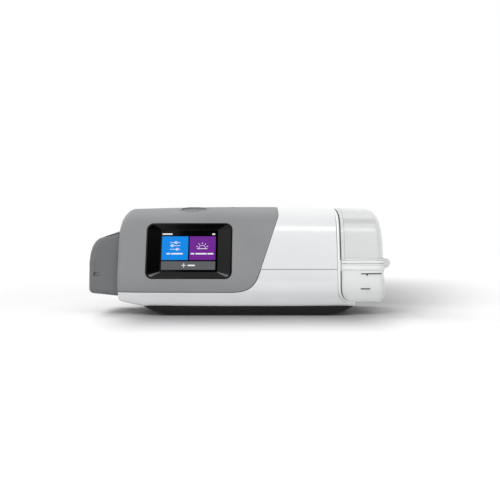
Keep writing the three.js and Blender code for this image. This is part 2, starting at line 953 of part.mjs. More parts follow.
function screenHole() {
  const holeWidth = screenWidth + fitGap + fitGap;
  const holeHeight = screenHeight + fitGap + fitGap;
  const outline = roundedRectangle(holeWidth, holeHeight, screenCorner);
  const hole = frontPrism(outline, -cutOverrun, screenFrameDepth + cutOverrun);
  return moved(hole, screenGroup.matrixWorld);
}

// Start button with its light ring, spring and switch, square to the crowned top
const buttonGroup = new THREE.Group();
const buttonSlope =
  (topAt(buttonX, buttonY + buttonRadius) - topAt(buttonX, buttonY - buttonRadius)) /
  (buttonRadius + buttonRadius);
buttonGroup.position.set(buttonX, buttonY, topAt(buttonX, buttonY));
buttonGroup.rotation.x = Math.atan(buttonSlope);
buttonGroup.updateMatrixWorld(true);
ventilator.add(buttonGroup);

function coilSolid(radius, low, high, turns, wire) {
  const steps = turns * springStepsPerTurn;
  const rings = [];
  for (let i = 0; i <= steps; i += 1) {
    const angle = (fullTurn * i) / springStepsPerTurn;
    const centreZ = low + wire + ((high - low - wire - wire) * i) / steps;
    const ring = [];
    for (let side = 0; side < springSides; side += 1) {
      const lean = (fullTurn * side) / springSides;
      const reach = radius + wire * Math.cos(lean);
      const z = centreZ + wire * Math.sin(lean);
      ring.push(new THREE.Vector3(reach * Math.cos(angle), reach * Math.sin(angle), z));
    }
    rings.push(ring);
  }
  return solidFromRings(rings);
}

function buildButton() {
  const capTop = -ringDrop;
  const capFloor = capTop - buttonHeight;
  const stemEnd = capFloor - stemLength;
  const button = latheSolid([
    [0, stemEnd],
    [stemRadius, stemEnd],
    [stemRadius, capFloor],
    [buttonRadius, capFloor],
    [buttonRadius, capTop - ringLip / 2],
    [buttonRadius - ringLip, capTop],
    [buttonRadius / 2, capTop - buttonDish * buttonDishShare],
    [0, capTop - buttonDish],
  ]);
  addPiece("start_button", button, greyShell, buttonGroup);

  const ringInner = buttonRadius + buttonGap;
  const ring = latheSolid([
    [ringInner, -ringHeight],
    [ringRadius, -ringHeight],
    [ringRadius, 0],
    [ringRadius - ringLip / 2, 0],
    [ringInner, -ringDrop],
    [ringInner, -ringHeight],
  ]);
  addPiece("light_ring", ring, lightGuide, buttonGroup);

  const switchTop = stemEnd - fitGap - buttonTravel;
  const switchShoulder = switchTop - buttonTravel;
  const switchLow = switchTop - switchHeight;
  const half = switchSize / 2;
  const switchBody = union([
    boxSolid([-half, -half, switchLow], [half, half, switchShoulder]),
    post(0, 0, switchLow, switchTop, stemRadius),
  ]);
  addPiece("button_switch", switchBody, blackGloss, buttonGroup);

  const boardTop = switchLow - fitGap;
  const boardLow = boardTop - buttonBoardThickness;
  const halfLength = buttonBoardLength / 2;
  const halfWidth = buttonBoardWidth / 2;
  const tabs = [-1, 1].map((side) => {
    const tabX = side * halfLength;
    return boxSolid(
      [tabX - buttonBoardThickness, -half, boardLow],
      [tabX + buttonBoardThickness, half, -ringHeight - fitGap],
    );
  });
  const plate = boxSolid([-halfLength, -halfWidth, boardLow], [halfLength, halfWidth, boardTop]);
  addPiece("button_board", union([plate, ...tabs]), boardGreen, buttonGroup);

  const springTop = capFloor - buttonTravel - fitGap;
  const spring = coilSolid(springRadius, boardTop + fitGap, springTop, springTurns, springWire);
  addPiece("button_spring", spring, steel, buttonGroup);
}

function buttonHole() {
  const hole = post(0, 0, -cutOverrun - cutOverrun, cutOverrun, ringRadius + fitGap, roundSides);
  return moved(hole, buttonGroup.matrixWorld);
}

// Light sensor window in the top
function buildSensor() {
  const top = topAt(sensorX, sensorY) - seamGap;
  addPiece("sensor_window", post(sensorX, sensorY, top - sensorLength, top, sensorRadius), blackGloss);
}

function sensorHole() {
  const top = topAt(sensorX, sensorY);
  return post(sensorX, sensorY, top - cutOverrun, top + cutOverrun, sensorRadius + fitGap);
}

// Filter cover: an end cap, open towards the case. Above its shoulder the front leans back with the case.
function coverOutline(inset, openX) {
  const left = coverLeft + inset;
  const low = coverBottomOuter + inset;
  const shoulderTop = coverShoulderTop - inset;
  const shape = new THREE.Shape();
  shape.moveTo(openX, coverBottomInner + inset);
  shape.lineTo(left + coverBottomCorner, low);
  shape.quadraticCurveTo(left, low, left, low + coverBottomCorner);
  shape.lineTo(left, coverShoulderHeight);
  shape.bezierCurveTo(
    left,
    coverShoulderHeight + coverShoulderLead,
    coverShoulderX - coverShoulderReach,
    shoulderTop - coverShoulderReach / 2,
    coverShoulderX,
    shoulderTop,
  );
  shape.lineTo(openX, coverTopInner - inset);
  return shape.getPoints(curveSteps);
}

function coverForm(inset, openX) {
  const outline = coverOutline(inset, openX);
  const middleHeight = (coverBottomInner + coverTopInner) / 2;
  const reachX = coverWallX - coverLeft;
  const reachZ = (coverTopInner - coverBottomInner) / 2;
  const radius = coverEdgeRadius - inset;
  const place = (y, edge, lean) => {
    const shareX = 1 - edge / reachX;
    const shareZ = 1 - edge / reachZ;
    return outline.map((point) => {
      const x = coverWallX + (point.x - coverWallX) * shareX;
      const z = middleHeight + (point.y - middleHeight) * shareZ;
      return new THREE.Vector3(x, y + Math.max(z - coverShoulderHeight, 0) * lean, z);
    });
  };
  const steps = curveSteps - 1;
  const turns = Array.from({ length: steps + 1 }, (_, i) => (quarterTurn * i) / steps);
  const inAt = (turn) => radius * (1 - Math.sin(turn));
  const edgeAt = (turn) => radius * (1 - Math.cos(turn));
  const front = turns.toReversed().map((turn) =>
    place(coverFront + inset + inAt(turn), edgeAt(turn), Math.tan(tiltRadians)),
  );
  const back = turns.map((turn) => place(coverBack - inset - inAt(turn), edgeAt(turn), 0));
  return solidFromRings([...front, ...back]);
}

// Hinge knuckles: two on the case outside, two on the cover between them
const knuckleStep = knuckleLength + hingeGap;
const coverKnuckles = [hingeLow + knuckleStep, hingeHigh - knuckleStep - knuckleLength];
const caseKnuckles = [hingeLow, hingeHigh - knuckleLength];

function hingeHole() {
  const reach = hingePinRadius + hingeGap;
  return post(hingeX, hingeY, hingeLow - cutOverrun, hingeHigh + cutOverrun, reach);
}

function buildFilterCover() {
  const shell = coverForm(0, coverWallX).subtract(coverForm(coverThickness, coverWallX + cutOverrun));
  const notchX = coverLeft + notchSetback;
  const notch = boxSolid(
    [notchX, coverFront - cutOverrun, notchCentreHeight - notchHeight / 2],
    [notchX + notchLength, coverFront + notchDepth, notchCentreHeight + notchHeight / 2],
  );
  const louvres = Array.from({ length: louvreCount }, (_, i) => {
    const y = louvreStartY + i * louvrePitch;
    const inner = coverLeft + coverThickness + coverThickness;
    return boxSolid([coverLeft - cutOverrun, y, louvreLow], [inner, y + louvreWidth, louvreHigh]);
  });
  const knuckles = coverKnuckles.map((low) => {
    const high = low + knuckleLength;
    const web = boxSolid(
      [hingeX - knuckleRadius, coverBack - coverThickness, low],
      [hingeX + knuckleRadius / 2, hingeY, high],
    );
    return union([post(hingeX, hingeY, low, high, knuckleRadius), web]);
  });
  const cover = cut(union([shell, ...knuckles]), [hingeHole(), notch, ...louvres]);
  addPiece("filter_cover", cover, darkGrey);

  const pin = post(hingeX, hingeY, hingeLow, hingeHigh, hingePinRadius);
  addPiece("filter_hinge_pin", pin, steel);
}

function knucklesOnCase() {
  return caseKnuckles.map((low) => {
    const high = low + knuckleLength;
    const web = boxSolid(
      [hingeX, hingeY - knuckleWebInset, low],
      [caseLeft + wall / 2, hingeY + knuckleWebInset / 2, high],
    );
    return union([post(hingeX, hingeY, low, high, knuckleRadius), web]).subtract(hingeHole());
  });
}

// Air intake in the left wall, behind the filter
const grilleFront = grilleCentreY - grilleWidth / 2;
const grilleBack = grilleCentreY + grilleWidth / 2;
const grilleLow = grilleCentreHeight - grilleHeight / 2;
const grilleHigh = grilleCentreHeight + grilleHeight / 2;

function grilleHole() {
  return boxSolid(
    [caseLeft - cutOverrun, grilleFront - fitGap, grilleLow - fitGap],
    [caseLeft + grilleThickness + cutOverrun, grilleBack + fitGap, grilleHigh + fitGap],
  );
}

function buildIntake() {
  const inner = caseLeft + grilleThickness;
  const plate = boxSolid([caseLeft, grilleFront, grilleLow], [inner, grilleBack, grilleHigh]);
  const window = boxSolid(
    [caseLeft - cutOverrun, grilleFront + grilleFrame, grilleLow + grilleFrame],
    [inner + cutOverrun, grilleBack - grilleFrame, grilleHigh - grilleFrame],
  );
  const pitch = (grilleWidth - grilleFrame - grilleFrame) / (grilleBarCount + 1);
  const bars = Array.from({ length: grilleBarCount }, (_, i) => {
    const y = grilleFront + grilleFrame + pitch * (i + 1);
    const half = grilleBarWidth / 2;
    const low = grilleLow + grilleFrame / 2;
    const high = grilleHigh - grilleFrame / 2;
    return boxSolid([caseLeft, y - half, low], [inner, y + half, high]);
  });
  addPiece("intake_grille", union([plate.subtract(window), ...bars]), innerGrey);

  const filterFar = caseLeft - fitGap;
  const filter = boxSolid(
    [filterFar - filterThickness, grilleFront + filterMargin, grilleLow + filterMargin],
    [filterFar, grilleBack - filterMargin, grilleHigh - filterMargin],
  );
  addPiece("air_filter", filter, filterWhite);
}

// Case shells
const wholeForm = caseForm(0, caseLeft, tubRight);
const bodyPrism = throughCase(bodyRegion(0));
const wrapPrism = throughCase(wrapOutline(0));
const wrapGapPrism = throughCase(wrapOutline(seamGap));

function bodyShell() {
  const inner = caseForm(wall, caseLeft + wall, tongueTipX + cutOverrun);
  return wholeForm.intersect(bodyPrism).subtract(inner);
}

function rearPanelBlock(grow) {
  return boxSolid(
    [panelLeft - grow, mufflerBack, panelLow - grow],
    [panelRight + grow, farBack, panelHigh + grow],
  );
}

function outletHole() {
  const start = [outletX, caseBack - cutOverrun - cutOverrun, portHeight];
  return rodSolid(start, [outletX, farBack, portHeight], outletRadius + fitGap, roundSides);
}

function buildShells() {
  const shell = bodyShell();
  const wrapHoles = [
    screenHole(),
    buttonHole(),
    sensorHole(),
    grilleHole(),
    rearPanelBlock(fitGap),
    outletHole(),
  ];
  const wrap = cut(shell.intersect(wrapPrism), wrapHoles);
  addPiece("grey_wrap", union([wrap, ...knucklesOnCase()]), greyShell);

  const white = shell.subtract(wrapGapPrism);
  const upper = white.intersect(slab(seamHeight + seamGap, farTop));
  addPiece("white_upper_shell", upper, whiteShell);

  const floor = caseBottom + wall;
  const ribs = Array.from({ length: mufflerRibCount }, (_, i) => {
    const share = (i + 1) / (mufflerRibCount + 1);
    const x = baseTopLeft + (mufflerRight - baseTopLeft) * share;
    return boxSolid(
      [x - mufflerRibWidth / 2, mufflerFront, floor - wall / 2],
      [x + mufflerRibWidth / 2, mufflerBack, mufflerLow - fitGap],
    );
  });
  const bosses = screwPlaces.map(([x, y]) => post(x, y, floor - wall / 2, screwBossTop, screwBossRadius));
  const holes = screwPlaces.map(([x, y]) => post(x, y, farBottom, farTop, screwShankRadius + fitGap));
  const lower = white.intersect(slab(farBottom, seamHeight));
  addPiece("white_lower_shell", cut(union([lower, ...ribs, ...bosses]), holes), whiteShell);

  const bezelRegion = throughCase(bodyRegion(bezelWidth)).subtract(throughCase(bodyRegion(seamGap)));
  const bezelBore = caseForm(bezelDepth, bodyEndX - cutOverrun, tongueTipX);
  const tipBore = boxSolid(
    [bodyEndX, bayFront, tongueHeight - seamGap],
    [farRight, bayBack, bodyEndLow],
  );
  addPiece("end_bezel", cut(wholeForm.intersect(bezelRegion), [bezelBore, tipBore]), innerGrey);
}

// Intake muffler: an open box with a lid, baffles and sound foam
function buildMuffler() {
  const left = caseLeft + grilleThickness + fitGap;
  const lidLow = mufflerHigh - mufflerWall;
  const caseHigh = lidLow - fitGap;
  const outer = boxSolid([left, mufflerFront, mufflerLow], [mufflerRight, mufflerBack, caseHigh]);
  const inner = boxSolid(
    [left + mufflerWall, mufflerFront + mufflerWall, mufflerLow + mufflerWall],
    [mufflerRight - mufflerWall, mufflerBack - mufflerWall, farTop],
  );
  const inlet = boxSolid(
    [left - cutOverrun, grilleFront + grilleFrame, grilleLow + grilleFrame],
    [left + cutOverrun, grilleBack - mufflerInletInset, caseHigh - mufflerWall],
  );
  const depth = mufflerBack - mufflerFront;
  const baffleX = blowerX + voluteInletRadius + mufflerInletInset;
  const baffle = boxSolid(
    [baffleX, mufflerFront, mufflerLow],
    [baffleX + mufflerWall, mufflerFront + depth * baffleReachShare, caseHigh],
  );
  const box = union([cut(outer, [inner, inlet]), baffle]);
  addPiece("muffler_box", box, innerGrey);

  const lid = boxSolid([left, mufflerFront, lidLow], [mufflerRight, mufflerBack, mufflerHigh]);
  const lidHole = post(blowerX, blowerY, farBottom, farTop, voluteInletRadius, roundSides);
  addPiece("muffler_lid", lid.subtract(lidHole), innerGrey);

  const foamLeft = left + mufflerWall + fitGap;
  const foamLow = mufflerLow + mufflerWall + fitGap;
  const foamBlock = boxSolid(
    [foamLeft, mufflerFront + mufflerWall + fitGap, foamLow],
    [foamLeft + foamLength, mufflerBack - mufflerWall - fitGap, foamLow + foamHeight],
  );
  addPiece("muffler_foam", foamBlock, foam);
}

// Blower: a spiral case around an impeller, with its motor on top
const portHeight = (voluteLow + voluteHigh) / 2;
const supplyY = blowerY - voluteEndRadius + voluteOutletWidth / 2;

function voluteOutline(inset, reach) {
  const tongueAngle = (voluteTongueDegrees * Math.PI) / 180 - quarterTurn;
  const endAngle = fullTurn - quarterTurn;
  const outletTop = voluteOutletWidth - voluteEndRadius - inset;
  const points = [new THREE.Vector2(blowerX + reach, blowerY + outletTop)];
  for (let i = 0; i <= spiralSteps; i += 1) {
    const angle = tongueAngle + ((endAngle - tongueAngle) * i) / spiralSteps;
    const share = (angle + quarterTurn) / fullTurn;
    const radius = voluteStartRadius + (voluteEndRadius - voluteStartRadius) * share - inset;
    const x = blowerX + radius * Math.cos(angle);
    const y = blowerY + radius * Math.sin(angle);
    points.push(new THREE.Vector2(x, i === 0 ? Math.max(y, blowerY + outletTop) : y));
  }
  points.push(new THREE.Vector2(blowerX + reach, blowerY - voluteEndRadius + inset));
  return new THREE.Shape(points);
}

function mountPlaces(radius) {
  return Array.from({ length: mountCount }, (_, i) => {
    const angle = (mountStartDegrees * Math.PI) / 180 + (fullTurn * i) / mountCount;
    return [blowerX + radius * Math.cos(angle), blowerY + radius * Math.sin(angle)];
  });
}

function buildBlowerCase() {
  const hollowOutline = voluteOutline(voluteWall, voluteOutletReach + cutOverrun);
  const inlet = post(blowerX, blowerY, farBottom, voluteSplit, voluteInletRadius, roundSides);
  const lowerHollow = planPrism(hollowOutline, voluteLow + voluteWall, voluteSplit + cutOverrun);
  const outline = voluteOutline(0, voluteOutletReach);
  const lugLow = mufflerHigh + fitGap + mountFootHeight + fitGap;
  const lugs = mountPlaces(mountCircle).map(([x, y], i) => {
    const [innerX, innerY] = mountPlaces(voluteStartRadius)[i];
    const arm = rodSolid(
      [innerX, innerY, lugLow + lugHeight / 2],
      [x, y, lugLow + lugHeight / 2],
      lugHeight / 2,
    );
    return union([post(x, y, lugLow, lugLow + lugHeight, mountRadius), arm]);
  });
  const lowerBody = union([planPrism(outline, voluteLow, voluteSplit), ...lugs]);
  addPiece("blower_lower_case", cut(lowerBody, [lowerHollow, inlet]), blackGloss);

  const upperLow = voluteSplit + seamGap;
  const upperHollow = planPrism(hollowOutline, farBottom, voluteHigh - voluteWall);
  const shaftHole = post(blowerX, blowerY, farBottom, farTop, shaftRadius + fitGap + fitGap);
  const seatHigh = voluteHigh + fitGap + bearingHeight;
  const seat = ringPost(
    blowerX,
    blowerY,
    voluteHigh - voluteWall / 2,
    seatHigh,
    bearingOuter + fitGap + bearingSeatWall,
    bearingOuter + fitGap,
  );
  const upper = cut(planPrism(outline, upperLow, voluteHigh), [upperHollow, shaftHole]);
  const seatFloor = post(blowerX, blowerY, voluteHigh - voluteWall, voluteHigh, bearingOuter);
  const upperBody = union([upper, seat, seatFloor.subtract(shaftHole)]);
  addPiece("blower_upper_case", upperBody, blackGloss);

  const bandLow = mufflerHigh + fitGap;
  const band = ringPost(
    blowerX,
    blowerY,
    bandLow,
    voluteLow - fitGap,
    voluteInletRadius + mountRadius,
    voluteInletRadius,
    roundSides,
  );
  const arms = mountPlaces(mountCircle).map(([x, y], i) => {
    const [innerX, innerY] = mountPlaces(voluteInletRadius + mountRadius / 2)[i];
    const middle = bandLow + mountBandHeight / 2;
    const arm = rodSolid([innerX, innerY, middle], [x, y, middle], mountBandHeight / 2, smallSides / 2);
    return union([arm, post(x, y, bandLow, bandLow + mountFootHeight, mountRadius)]);
  });
  addPiece("blower_mount", union([band, ...arms]), silicone);
}

function impellerBlade(index) {
  const angle = (fullTurn * index) / impellerBlades;
  const lean = angle + (bladeLeanDegrees * Math.PI) / 180;
  const bladeTop = impellerBladeHigh + impellerDisc / 2;
  const start = new THREE.Vector2(impellerEye, 0).rotateAround(new THREE.Vector2(), angle);
  const edge = impellerRadius - impellerBladeThickness;
  const end = new THREE.Vector2(edge, 0).rotateAround(new THREE.Vector2(), lean);
  const along = end.clone().sub(start);
  const bladeHeight = bladeTop - impellerBladeLow;
  const blade = new THREE.BoxGeometry(along.length(), impellerBladeThickness, bladeHeight);
  blade.rotateZ(along.angle());
  const middle = start.add(end).multiplyScalar(0.5);
  blade.translate(blowerX + middle.x, blowerY + middle.y, (impellerBladeLow + bladeTop) / 2);
  return solidFromGeometry(blade);
}

function buildRotor() {
  const discHigh = impellerBladeHigh + impellerDisc;
  const blades = Array.from({ length: impellerBlades }, (_, i) => impellerBlade(i));
  const shaftBore = post(blowerX, blowerY, farBottom, farTop, shaftRadius + fitGap);
  const body = union([
    post(blowerX, blowerY, impellerBladeHigh, discHigh, impellerRadius, roundSides),
    post(blowerX, blowerY, shaftLow, discHigh + impellerDisc, impellerHub),
    ...blades,
  ]);
  addPiece("impeller", body.subtract(shaftBore), innerGrey);
  addPiece("rotor_shaft", post(blowerX, blowerY, shaftLow, shaftHigh, shaftRadius), steel);

  const magnetLow = voluteHigh + fitGap + bearingHeight + fitGap + fitGap;
  const magnet = ringPost(
    blowerX,
    blowerY,
    magnetLow,
    magnetLow + magnetHeight,
    magnetRadius,
    shaftRadius + fitGap,
  );
  addPiece("rotor_magnet", magnet, magnetDark);
}

function buildMotor() {
  const canLow = voluteHigh + fitGap;
  const canHigh = canLow + motorCanHeight;
  const bearingBore = shaftRadius + fitGap;
  const lowerLow = voluteHigh + fitGap / 2;
  const lower = ringPost(blowerX, blowerY, lowerLow, lowerLow + bearingHeight, bearingOuter, bearingBore);
  addPiece("lower_bearing", lower, steel);

  const upperHigh = canHigh - motorCanWall - fitGap;
  const upper = ringPost(blowerX, blowerY, upperHigh - bearingHeight, upperHigh, bearingOuter, bearingBore);
  addPiece("upper_bearing", upper, steel);

  const can = post(blowerX, blowerY, canLow, canHigh, motorCanRadius, roundSides);
  const hollow = post(
    blowerX,
    blowerY,
    farBottom,
    canHigh - motorCanWall,
    motorCanRadius - motorCanWall,
    roundSides,
  );
  const seat = ringPost(
    blowerX,
    blowerY,
    upperHigh - bearingHeight,
    canHigh - motorCanWall / 2,
    bearingOuter + fitGap + bearingSeatWall,
    bearingOuter + fitGap,
  );
  addPiece("motor_can", union([can.subtract(hollow), seat]), aluminium);

  const statorLow = canLow + bearingHeight + fitGap;
  const stator = ringPost(
    blowerX,
    blowerY,
    statorLow,
    statorLow + magnetHeight,
    motorCanRadius - motorCanWall - fitGap,
    statorInner,
    roundSides,
  );
  addPiece("stator", stator, copper);
}

// Ducts: from the blower to the tub, and from the tub back to the rear outlet
const ductEnd = bayLeft - fitGap;
const ductOuter = portBore + portWall;

// A section across X whose points lie on a rectangle or, with no half sizes given, on a circle
function ductSection(x, radius, halfWidth, halfHeight) {
  return Array.from({ length: roundSides }, (_, i) => {
    const angle = (fullTurn * i) / roundSides;
    const across = Math.cos(angle);
    const up = Math.sin(angle);
    const reach = halfWidth
      ? Math.min(halfWidth / Math.abs(across), halfHeight / Math.abs(up))
      : radius;
    return new THREE.Vector3(x, supplyY + reach * across, portHeight + reach * up);
  });
}

function supplyForm(inset) {
  const start = blowerX + voluteOutletReach + fitGap;
  const halfWidth = voluteOutletWidth / 2 - inset;
  const halfHeight = (voluteHigh - voluteLow) / 2 - inset;
  const radius = ductOuter - inset;
  const reach = inset > 0 ? cutOverrun : 0;
  const roundFrom = start + (ductEnd - start) * ductRoundShare;
  return solidFromRings([
    ductSection(start - reach, radius, halfWidth, halfHeight),
    ductSection(start, radius, halfWidth, halfHeight),
    ductSection(roundFrom, radius),
    ductSection(ductEnd + reach, radius),
  ]);
}

// A level pipe along straight runs, mitred where they meet
function pipe(places, height, radius) {
  const points = places.map(([x, y]) => new THREE.Vector2(x, y));
  const normals = points.slice(1).map((point, i) => inwards(points[i], point));
  const rings = points.map((point, i) => {
    const before = normals[Math.max(i - 1, 0)];
    const after = normals[Math.min(i, normals.length - 1)];
    const side = before.clone().add(after).divideScalar(1 + before.dot(after));
    return Array.from({ length: roundSides }, (_, step) => {
      const angle = (fullTurn * step) / roundSides;
      const reach = radius * Math.cos(angle);
      const z = height + radius * Math.sin(angle);
      return new THREE.Vector3(point.x + side.x * reach, point.y + side.y * reach, z);
    });
  });
  return solidFromRings(rings);
}

const outletFlangeBack =
  backAt(outletX, portHeight + outletFlange) - wall - fitGap;
const outletInnerEnd = outletFlangeBack - outletFlangeThickness - outletInnerReach;

function returnRoute(reach) {
  return [
    [ductEnd + reach, returnY],
    [outletX + elbowCut, returnY],
    [outletX, returnY + elbowCut],
    [outletX, outletInnerEnd - fitGap + reach],
  ];
}

function buildDucts() {
  addPiece("supply_duct", supplyForm(0).subtract(supplyForm(portWall)), innerGrey);
  const bore = pipe(returnRoute(cutOverrun), portHeight, portBore);
  addPiece("return_duct", pipe(returnRoute(0), portHeight, ductOuter).subtract(bore), innerGrey);

  const sensorLow = portHeight + ductOuter + fitGap;
  const flowSensor = boxSolid(
    [ductEnd - flowSensorLength, supplyY - flowSensorWidth / 2, sensorLow],
    [ductEnd, supplyY + flowSensorWidth / 2, sensorLow + flowSensorHeight],
  );
  addPiece("flow_sensor", flowSensor, blackGloss);

  const seal = (y) => {
    const far = tubInnerLeft - fitGap;
    const ring = rodSolid([bayLeft, y, portHeight], [far, y, portHeight], portBore + sealLip, roundSides);
    return ring.subtract(portHole(y, portBore));
  };
  addPiece("supply_seal", seal(supplyY), silicone);
  addPiece("return_seal", seal(returnY), silicone);
}

function portHole(y, radius) {
  const start = [ductEnd - cutOverrun, y, portHeight];
  return rodSolid(start, [tubInnerLeft + cutOverrun, y, portHeight], radius, roundSides);
}

function buildOutlet() {
  const along = (start, end, radius) =>
    rodSolid([outletX, start, portHeight], [outletX, end, portHeight], radius, roundSides);
  const flangeFront = outletFlangeBack - outletFlangeThickness;
  const port = along(outletInnerEnd, outletEnd, outletRadius);
  const flange = along(flangeFront, outletFlangeBack, outletFlange);
  const bore = along(outletInnerEnd - cutOverrun, farBack, outletBore);
  addPiece("air_outlet_port", union([port, flange]).subtract(bore), innerGrey);
}

// Rear panel with the power inlet and the card slot behind its flap
const panelFar = (x, height) => backAt(x, height) - rearPanelInset;
const cardHingeY = panelFar(cardX, cardHeight) - cardHingeRadius;
const cardHingeHeight = cardHeight - cardFlapHeight / 2;

function powerBlock(grow, front) {
  const halfWidth = powerSocketWidth / 2 + grow;
  const halfHeight = powerSocketHeight / 2 + grow;
  return [
    [powerX - halfWidth, front, powerHeight - halfHeight],
    [powerX + halfWidth, panelFar(powerX, powerHeight), powerHeight + halfHeight],
  ];
}

function cardPin(radius, length) {
  const half = length / 2;
  return rodSolid(
    [cardX - half, cardHingeY, cardHingeHeight],
    [cardX + half, cardHingeY, cardHingeHeight],
    radius,
  );
}

function buildRearPanel() {
  const start = panelLeft - cutOverrun;
  const end = panelRight + cutOverrun;
  const outer = caseForm(rearPanelInset, start, end);
  const inner = caseForm(rearPanelInset + rearPanelThickness, start - cutOverrun / 2, end + cutOverrun);
  const plate = outer.subtract(inner).intersect(rearPanelBlock(0));
  const [powerLow, powerHigh] = powerBlock(powerShellWall + fitGap, mufflerBack);
  powerHigh[1] = farBack;
  const flapHole = boxSolid(
    [cardX - cardFlapWidth / 2 - fitGap, mufflerBack, cardHingeHeight - cardHingeRadius - fitGap],
    [cardX + cardFlapWidth / 2 + fitGap, farBack, cardHingeHeight + cardFlapHeight + fitGap],
  );
  const pinHole = cardPin(cardPinRadius + hingeGap, cardPinLength + fitGap + fitGap);
  addPiece("rear_panel", cut(plate, [boxSolid(powerLow, powerHigh), flapHole, pinHole]), blackBase);
}

function buildPowerInlet() {
  const far = panelFar(powerX, powerHeight);
  const near = far - powerDepth;
  const body = boxSolid(...powerBlock(powerShellWall, near));
  const [socketLow, socketHigh] = powerBlock(0, near + powerFloor);
  socketHigh[1] = farBack;
  const pins = Array.from({ length: powerPinCount }, (_, i) => {
    const x = powerX + (i - (powerPinCount - 1) / 2) * powerPinPitch;
    const tip = near + powerFloor + powerPinLength;
    return rodSolid([x, near + powerFloor / 2, powerHeight], [x, tip, powerHeight], powerPinRadius);
  });
  const inlet = union([body.subtract(boxSolid(socketLow, socketHigh)), ...pins]);
  addPiece("power_inlet", inlet, blackGloss);
}

function buildCardSlot() {
  const far = panelFar(cardX - cardSocketWidth / 2, cardHeight) - rearPanelThickness - fitGap;
  const near = far - cardSocketDepth;
  const half = cardSocketWidth / 2;
  const socket = boxSolid(
    [cardX - half, near, cardHeight - cardSocketHeight / 2],
    [cardX + half, far, cardHeight + cardSocketHeight / 2],
  );
  const slot = boxSolid(
    [cardX - cardSlotWidth / 2, far - cardSlotDepth, cardHeight - cardSlotHeight / 2],
    [cardX + cardSlotWidth / 2, farBack, cardHeight + cardSlotHeight / 2],
  );
  addPiece("card_socket", socket.subtract(slot), steel);

  const plate = boxSolid(
    [cardX - cardFlapWidth / 2, cardHingeY - cardFlapThickness / 2, cardHingeHeight],
    [cardX + cardFlapWidth / 2, cardHingeY + cardFlapThickness / 2, cardHingeHeight + cardFlapHeight],
  );
  const flap = plate.add(cardPin(cardHingeRadius, cardFlapWidth));
  const bore = cardPin(cardPinRadius + hingeGap, cardPinLength + cutOverrun);
  addPiece("card_flap", flap.subtract(bore), blackBase);
  addPiece("card_flap_pin", cardPin(cardPinRadius, cardPinLength), steel);
}

// Humidifier bay: a liner with a flange behind the end bezel, and the heater on its floor
function buildBay() {
  const end = bodyEndX - seamGap;
  const box = boxSolid([bayLeft, bayFront, bayLow], [end, bayBack, bayHigh]);
  const flange = caseForm(wall + fitGap, end - bayFlangeThickness, end);
  const hollow = boxSolid(
    [bayLeft + bayWall, bayFront + bayWall, bayLow + bayWall],
    [farRight, bayBack - bayWall, bayHigh - bayWall],
  );
  const sealHole = portBore + sealLip + fitGap;
  const holes = [hollow, portHole(supplyY, sealHole), portHole(returnY, sealHole)];
  addPiece("bay_liner", cut(box.add(flange), holes), innerGrey);

  const heater = boxSolid(
    [heaterLeft, heaterFront, bayLow + bayWall + fitGap],
    [heaterRight, heaterBack, tubInnerBottom - fitGap],
  );
  addPiece("heater_plate", heater, aluminium);
}

// Water tub: base with its heat plate, deck, seal and hinged lid
const tubFront = bayFront + bayWall + tubClearance;
const tubBack = bayBack - bayWall - tubClearance;
const tubStart = bodyEndX + bezelWidth + tubGap;
const deckLow = tubRim + fitGap + tubSealThickness + fitGap;
const deckHigh = bayHigh - bayWall - tubClearance;
const bulkheadLeft = tubStart + fitGap;
const bulkheadRight = bulkheadLeft + bulkheadThickness;
const lidLeft = bulkheadRight + fitGap;
const innerRight = tubStart + tubCornerRadius;

// The tub's inner part, which slides into the bay
function tubBlock(inset, low, high) {
  return planBlock(
    [tubInnerLeft + inset, tubFront + inset, low],
    [innerRight + inset, tubBack - inset, high],
    tubCornerRadius - inset,
  );
}

function rightOf(x) {
  return boxSolid([x, farFront, farBottom], [farRight, farBack, farTop]);
}

function acrossRod(radius, front, back) {
  return rodSolid(
    [lidHingeX, front, lidHingeHeight],
    [lidHingeX, back, lidHingeHeight],
    radius,
    smallSides,
  );
}

function buildTubBase() {
  const bodySide = throughCase(bodyRegion(bezelWidth + tubGap));
  const hollowSide = throughCase(bodyRegion(bezelWidth + tubGap + tubSideWall));
  const start = bodyEndX;
  const exposed = cut(wholeForm.intersect(slab(tubBottom, tubRim)), [bodySide]);
  const flangeForm = caseForm(-flangeProud, start, tubRight + flangeProud);
  const flange = cut(flangeForm.intersect(slab(baseFlangeLow, tubRim)), [bodySide]);
  const hollowForm = caseForm(tubSideWall, start, tubRight - tubSideWall);
  const hollow = cut(hollowForm.intersect(slab(tubBottom + tubSideWall, farTop)), [hollowSide]);
  const innerHollow = tubBlock(tubSideWall, tubInnerBottom + tubSideWall, farTop);
  const ears = [lidHingeFront, lidHingeBack - lidEarWidth].map((front) => {
    const back = front + lidEarWidth;
    const web = boxSolid(
      [tubRight - tubSideWall / 2, front, lidHingeHeight - lidKnuckleRadius],
      [lidHingeX, back, tubRim],
    );
    return union([acrossRod(lidKnuckleRadius, front, back), web]);
  });
  const bar = acrossRod(lidBarRadius, lidHingeFront + lidEarWidth / 2, lidHingeBack - lidEarWidth / 2);
  const inner = tubBlock(0, tubInnerBottom, tubRim);
  const plateLow = [heaterLeft + tubPlateMargin, heaterFront + tubPlateMargin, tubInnerBottom];
  const plateHigh = [
    heaterRight - tubPlateMargin,
    heaterBack - tubPlateMargin,
    tubInnerBottom + tubSideWall,
  ];
  const window = boxSolid(
    [plateLow[0] - fitGap, plateLow[1] - fitGap, farBottom],
    [plateHigh[0] + fitGap, plateHigh[1] + fitGap, tubRim],
  );
  const base = cut(union([exposed, flange, inner]), [hollow, innerHollow, window]);
  addPiece("tub_base", union([base, ...ears, bar]), clearTub);
  addPiece("tub_heat_plate", boxSolid(plateLow, plateHigh), steel);
}

